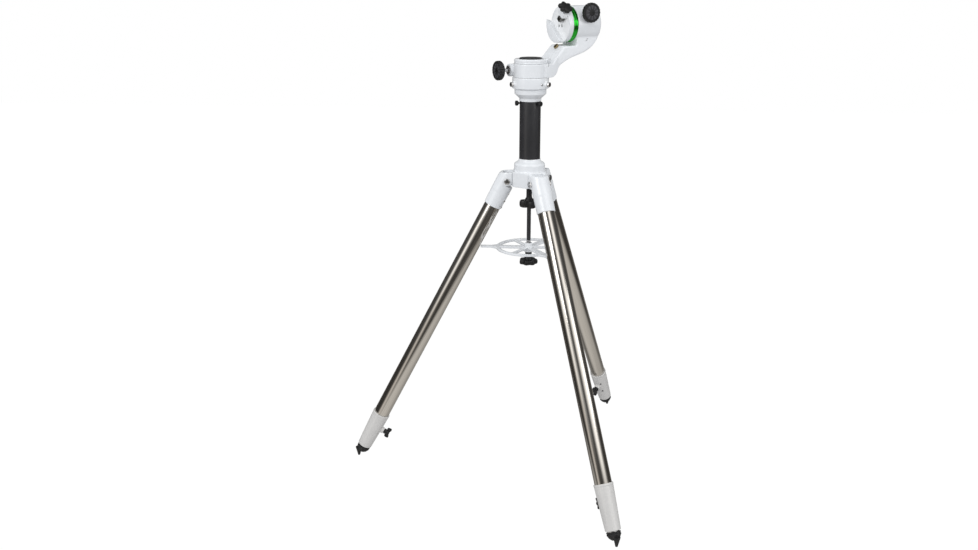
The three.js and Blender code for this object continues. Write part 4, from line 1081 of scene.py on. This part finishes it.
def build_world():
    """White all round for light, with dark and bright panels only in glossy reflections."""
    world = bpy.data.worlds.new("studio")
    bpy.context.scene.world = world
    world.use_nodes = True
    tree = world.node_tree
    tree.nodes.clear()

    def add(kind):
        return tree.nodes.new(kind)

    def link(output, target):
        tree.links.new(output, target)

    def math_node(operation, first, second=None):
        node = add("ShaderNodeMath")
        node.operation = operation
        for index, value in enumerate((first, second)):
            if value is None:
                continue
            if isinstance(value, (int, float)):
                node.inputs[index].default_value = value
            else:
                link(value, node.inputs[index])
        return node.outputs[0]

    def ramp(value, stops):
        node = add("ShaderNodeValToRGB")
        elements = node.color_ramp.elements
        while len(elements) > 1:
            elements.remove(elements[-1])
        elements[0].position = stops[0][0]
        elements[0].color = (*stops[0][1], 1)
        for position, colour in stops[1:]:
            elements.new(position).color = (*colour, 1)
        link(value, node.inputs["Fac"])
        return node.outputs["Color"]

    direction = add("ShaderNodeSeparateXYZ")
    link(add("ShaderNodeTexCoord").outputs["Generated"], direction.inputs[0])
    x, y, z = direction.outputs
    bearing = math_node("ARCTAN2", x, math_node("MULTIPLY", y, -1.0))
    turn = math_node("ADD", math_node("MULTIPLY", bearing, 0.5 / math.pi), 0.5)

    def stop(degrees):
        return degrees / 360 + 0.5

    def around(stops, tint):
        colours = [(stop(degrees), tuple(level * share for share in tint)) for degrees, level in stops]
        return ramp(turn, colours)

    def blend(start, end, first, second):
        """Goes from the first colour to the second between two heights of the direction."""
        height = add("ShaderNodeMapRange")
        height.inputs["From Min"].default_value = start
        height.inputs["From Max"].default_value = end
        link(z, height.inputs["Value"])
        mixed = add("ShaderNodeMix")
        mixed.data_type = "RGBA"
        link(height.outputs["Result"], mixed.inputs["Factor"])
        link(first, mixed.inputs["A"])
        link(second, mixed.inputs["B"])
        return mixed.outputs["Result"]

    ground = around(GROUND_PANELS, (1.0, 0.965, 0.91))
    horizon = around(HORIZON_PANELS, (1.0, 0.94, 0.87))
    high = around(HIGH_PANELS, (1.0, 0.985, 0.96))
    panels = blend(*HIGH_FROM, blend(*HORIZON_FROM, ground, horizon), high)
    path = add("ShaderNodeLightPath")
    mirror = add("ShaderNodeBackground")
    mirror.inputs["Strength"].default_value = 1.0
    link(panels, mirror.inputs["Color"])
    sky = add("ShaderNodeBackground")
    sky.inputs["Color"].default_value = (0.97, 0.985, 1.0, 1)
    sky.inputs["Strength"].default_value = 0.98
    seen = add("ShaderNodeBackground")
    seen.inputs["Color"].default_value = (1, 1, 1, 1)
    seen.inputs["Strength"].default_value = 1.0
    lit = add("ShaderNodeMixShader")
    link(path.outputs["Is Glossy Ray"], lit.inputs[0])
    link(sky.outputs[0], lit.inputs[1])
    link(mirror.outputs[0], lit.inputs[2])
    out = add("ShaderNodeMixShader")
    link(path.outputs["Is Camera Ray"], out.inputs[0])
    link(lit.outputs[0], out.inputs[1])
    link(seen.outputs[0], out.inputs[2])
    link(out.outputs[0], add("ShaderNodeOutputWorld").inputs["Surface"])


def add_light(name, location, size, power):
    data = bpy.data.lights.new(name, "AREA")
    data.shape = "RECTANGLE"
    data.size, data.size_y = size
    data.energy = power
    light = bpy.data.objects.new(name, data)
    bpy.context.scene.collection.objects.link(light)
    light.location = location
    light.rotation_euler = (Vector(LIGHT_TARGET) - Vector(location)).to_track_quat("-Z", "Y").to_euler()
    light.visible_camera = False


FLOOR_Z = -0.56  # metres; below the feet of a leg folded or drawn out, so that no pose is cut off
FLOOR_GLOW = 1.06  # seen by the camera only
FLOOR_GLOW_SHARE = 0.93  # the rest of what the camera sees is lit paper


def build_studio():
    build_world()
    bm = bmesh.new()
    bmesh.ops.create_grid(bm, x_segments=8, y_segments=8, size=12)
    floor = new_object(bm)
    floor.name = "studio_floor"
    floor.location = (0, 0, FLOOR_Z)
    floor.visible_glossy = False
    material = bpy.data.materials.new("studio_floor_paper")
    material.use_nodes = True
    tree = material.node_tree
    shader = tree.nodes["Principled BSDF"]
    shader.inputs["Base Color"].default_value = (0.42, 0.42, 0.43, 1)
    shader.inputs["Roughness"].default_value = 0.9
    shader.inputs["Specular IOR Level"].default_value = 0.0
    glow = tree.nodes.new("ShaderNodeEmission")
    glow.inputs["Strength"].default_value = FLOOR_GLOW
    path = tree.nodes.new("ShaderNodeLightPath")
    share = tree.nodes.new("ShaderNodeMath")
    share.operation = "MULTIPLY"
    share.inputs[1].default_value = FLOOR_GLOW_SHARE
    mixed = tree.nodes.new("ShaderNodeMixShader")
    tree.links.new(path.outputs["Is Camera Ray"], share.inputs[0])
    tree.links.new(share.outputs[0], mixed.inputs[0])
    tree.links.new(shader.outputs[0], mixed.inputs[1])
    tree.links.new(glow.outputs[0], mixed.inputs[2])
    tree.links.new(mixed.outputs[0], tree.nodes["Material Output"].inputs["Surface"])
    floor.data.materials.append(material)
    add_light("key_softbox", (-1.6, -2.4, 2.6), (1.6, 1.6), 26)
    add_light("fill_softbox", (2.6, -1.4, 1.6), (1.4, 1.4), 9)


SENSOR_WIDTH = 36.0  # millimetres
LENS = 36.3
CAMERA_PLACE = (AXIS_X + 0.1161, -2.5861, 1.3595)  # metres
CAMERA_DOWN = 17.03  # degrees below level
CAMERA_LEFT = 4.95  # degrees towards -X


def build_camera():
    """Looks down from a little above the head, with the head right of the picture's middle."""
    data = bpy.data.cameras.new("camera")
    data.sensor_width = SENSOR_WIDTH
    data.lens = LENS
    data.clip_start = 0.05
    camera = bpy.data.objects.new("camera", data)
    bpy.context.scene.collection.objects.link(camera)
    camera.location = CAMERA_PLACE
    camera.rotation_euler = (math.radians(90 - CAMERA_DOWN), 0.0, math.radians(CAMERA_LEFT))
    bpy.context.scene.camera = camera
    bpy.context.scene.view_settings.view_transform = "Standard"


# ------------------------------------------------------------------ build

build_hub()
build_pillar()
build_thumbscrews()
build_rod()
build_spreader()
build_legs()
build_azimuth_base()
build_arm()
build_arm_fittings()
build_worms()
build_saddle()
build_clamp()
dress_cad_nodes()
build_studio()
build_camera()
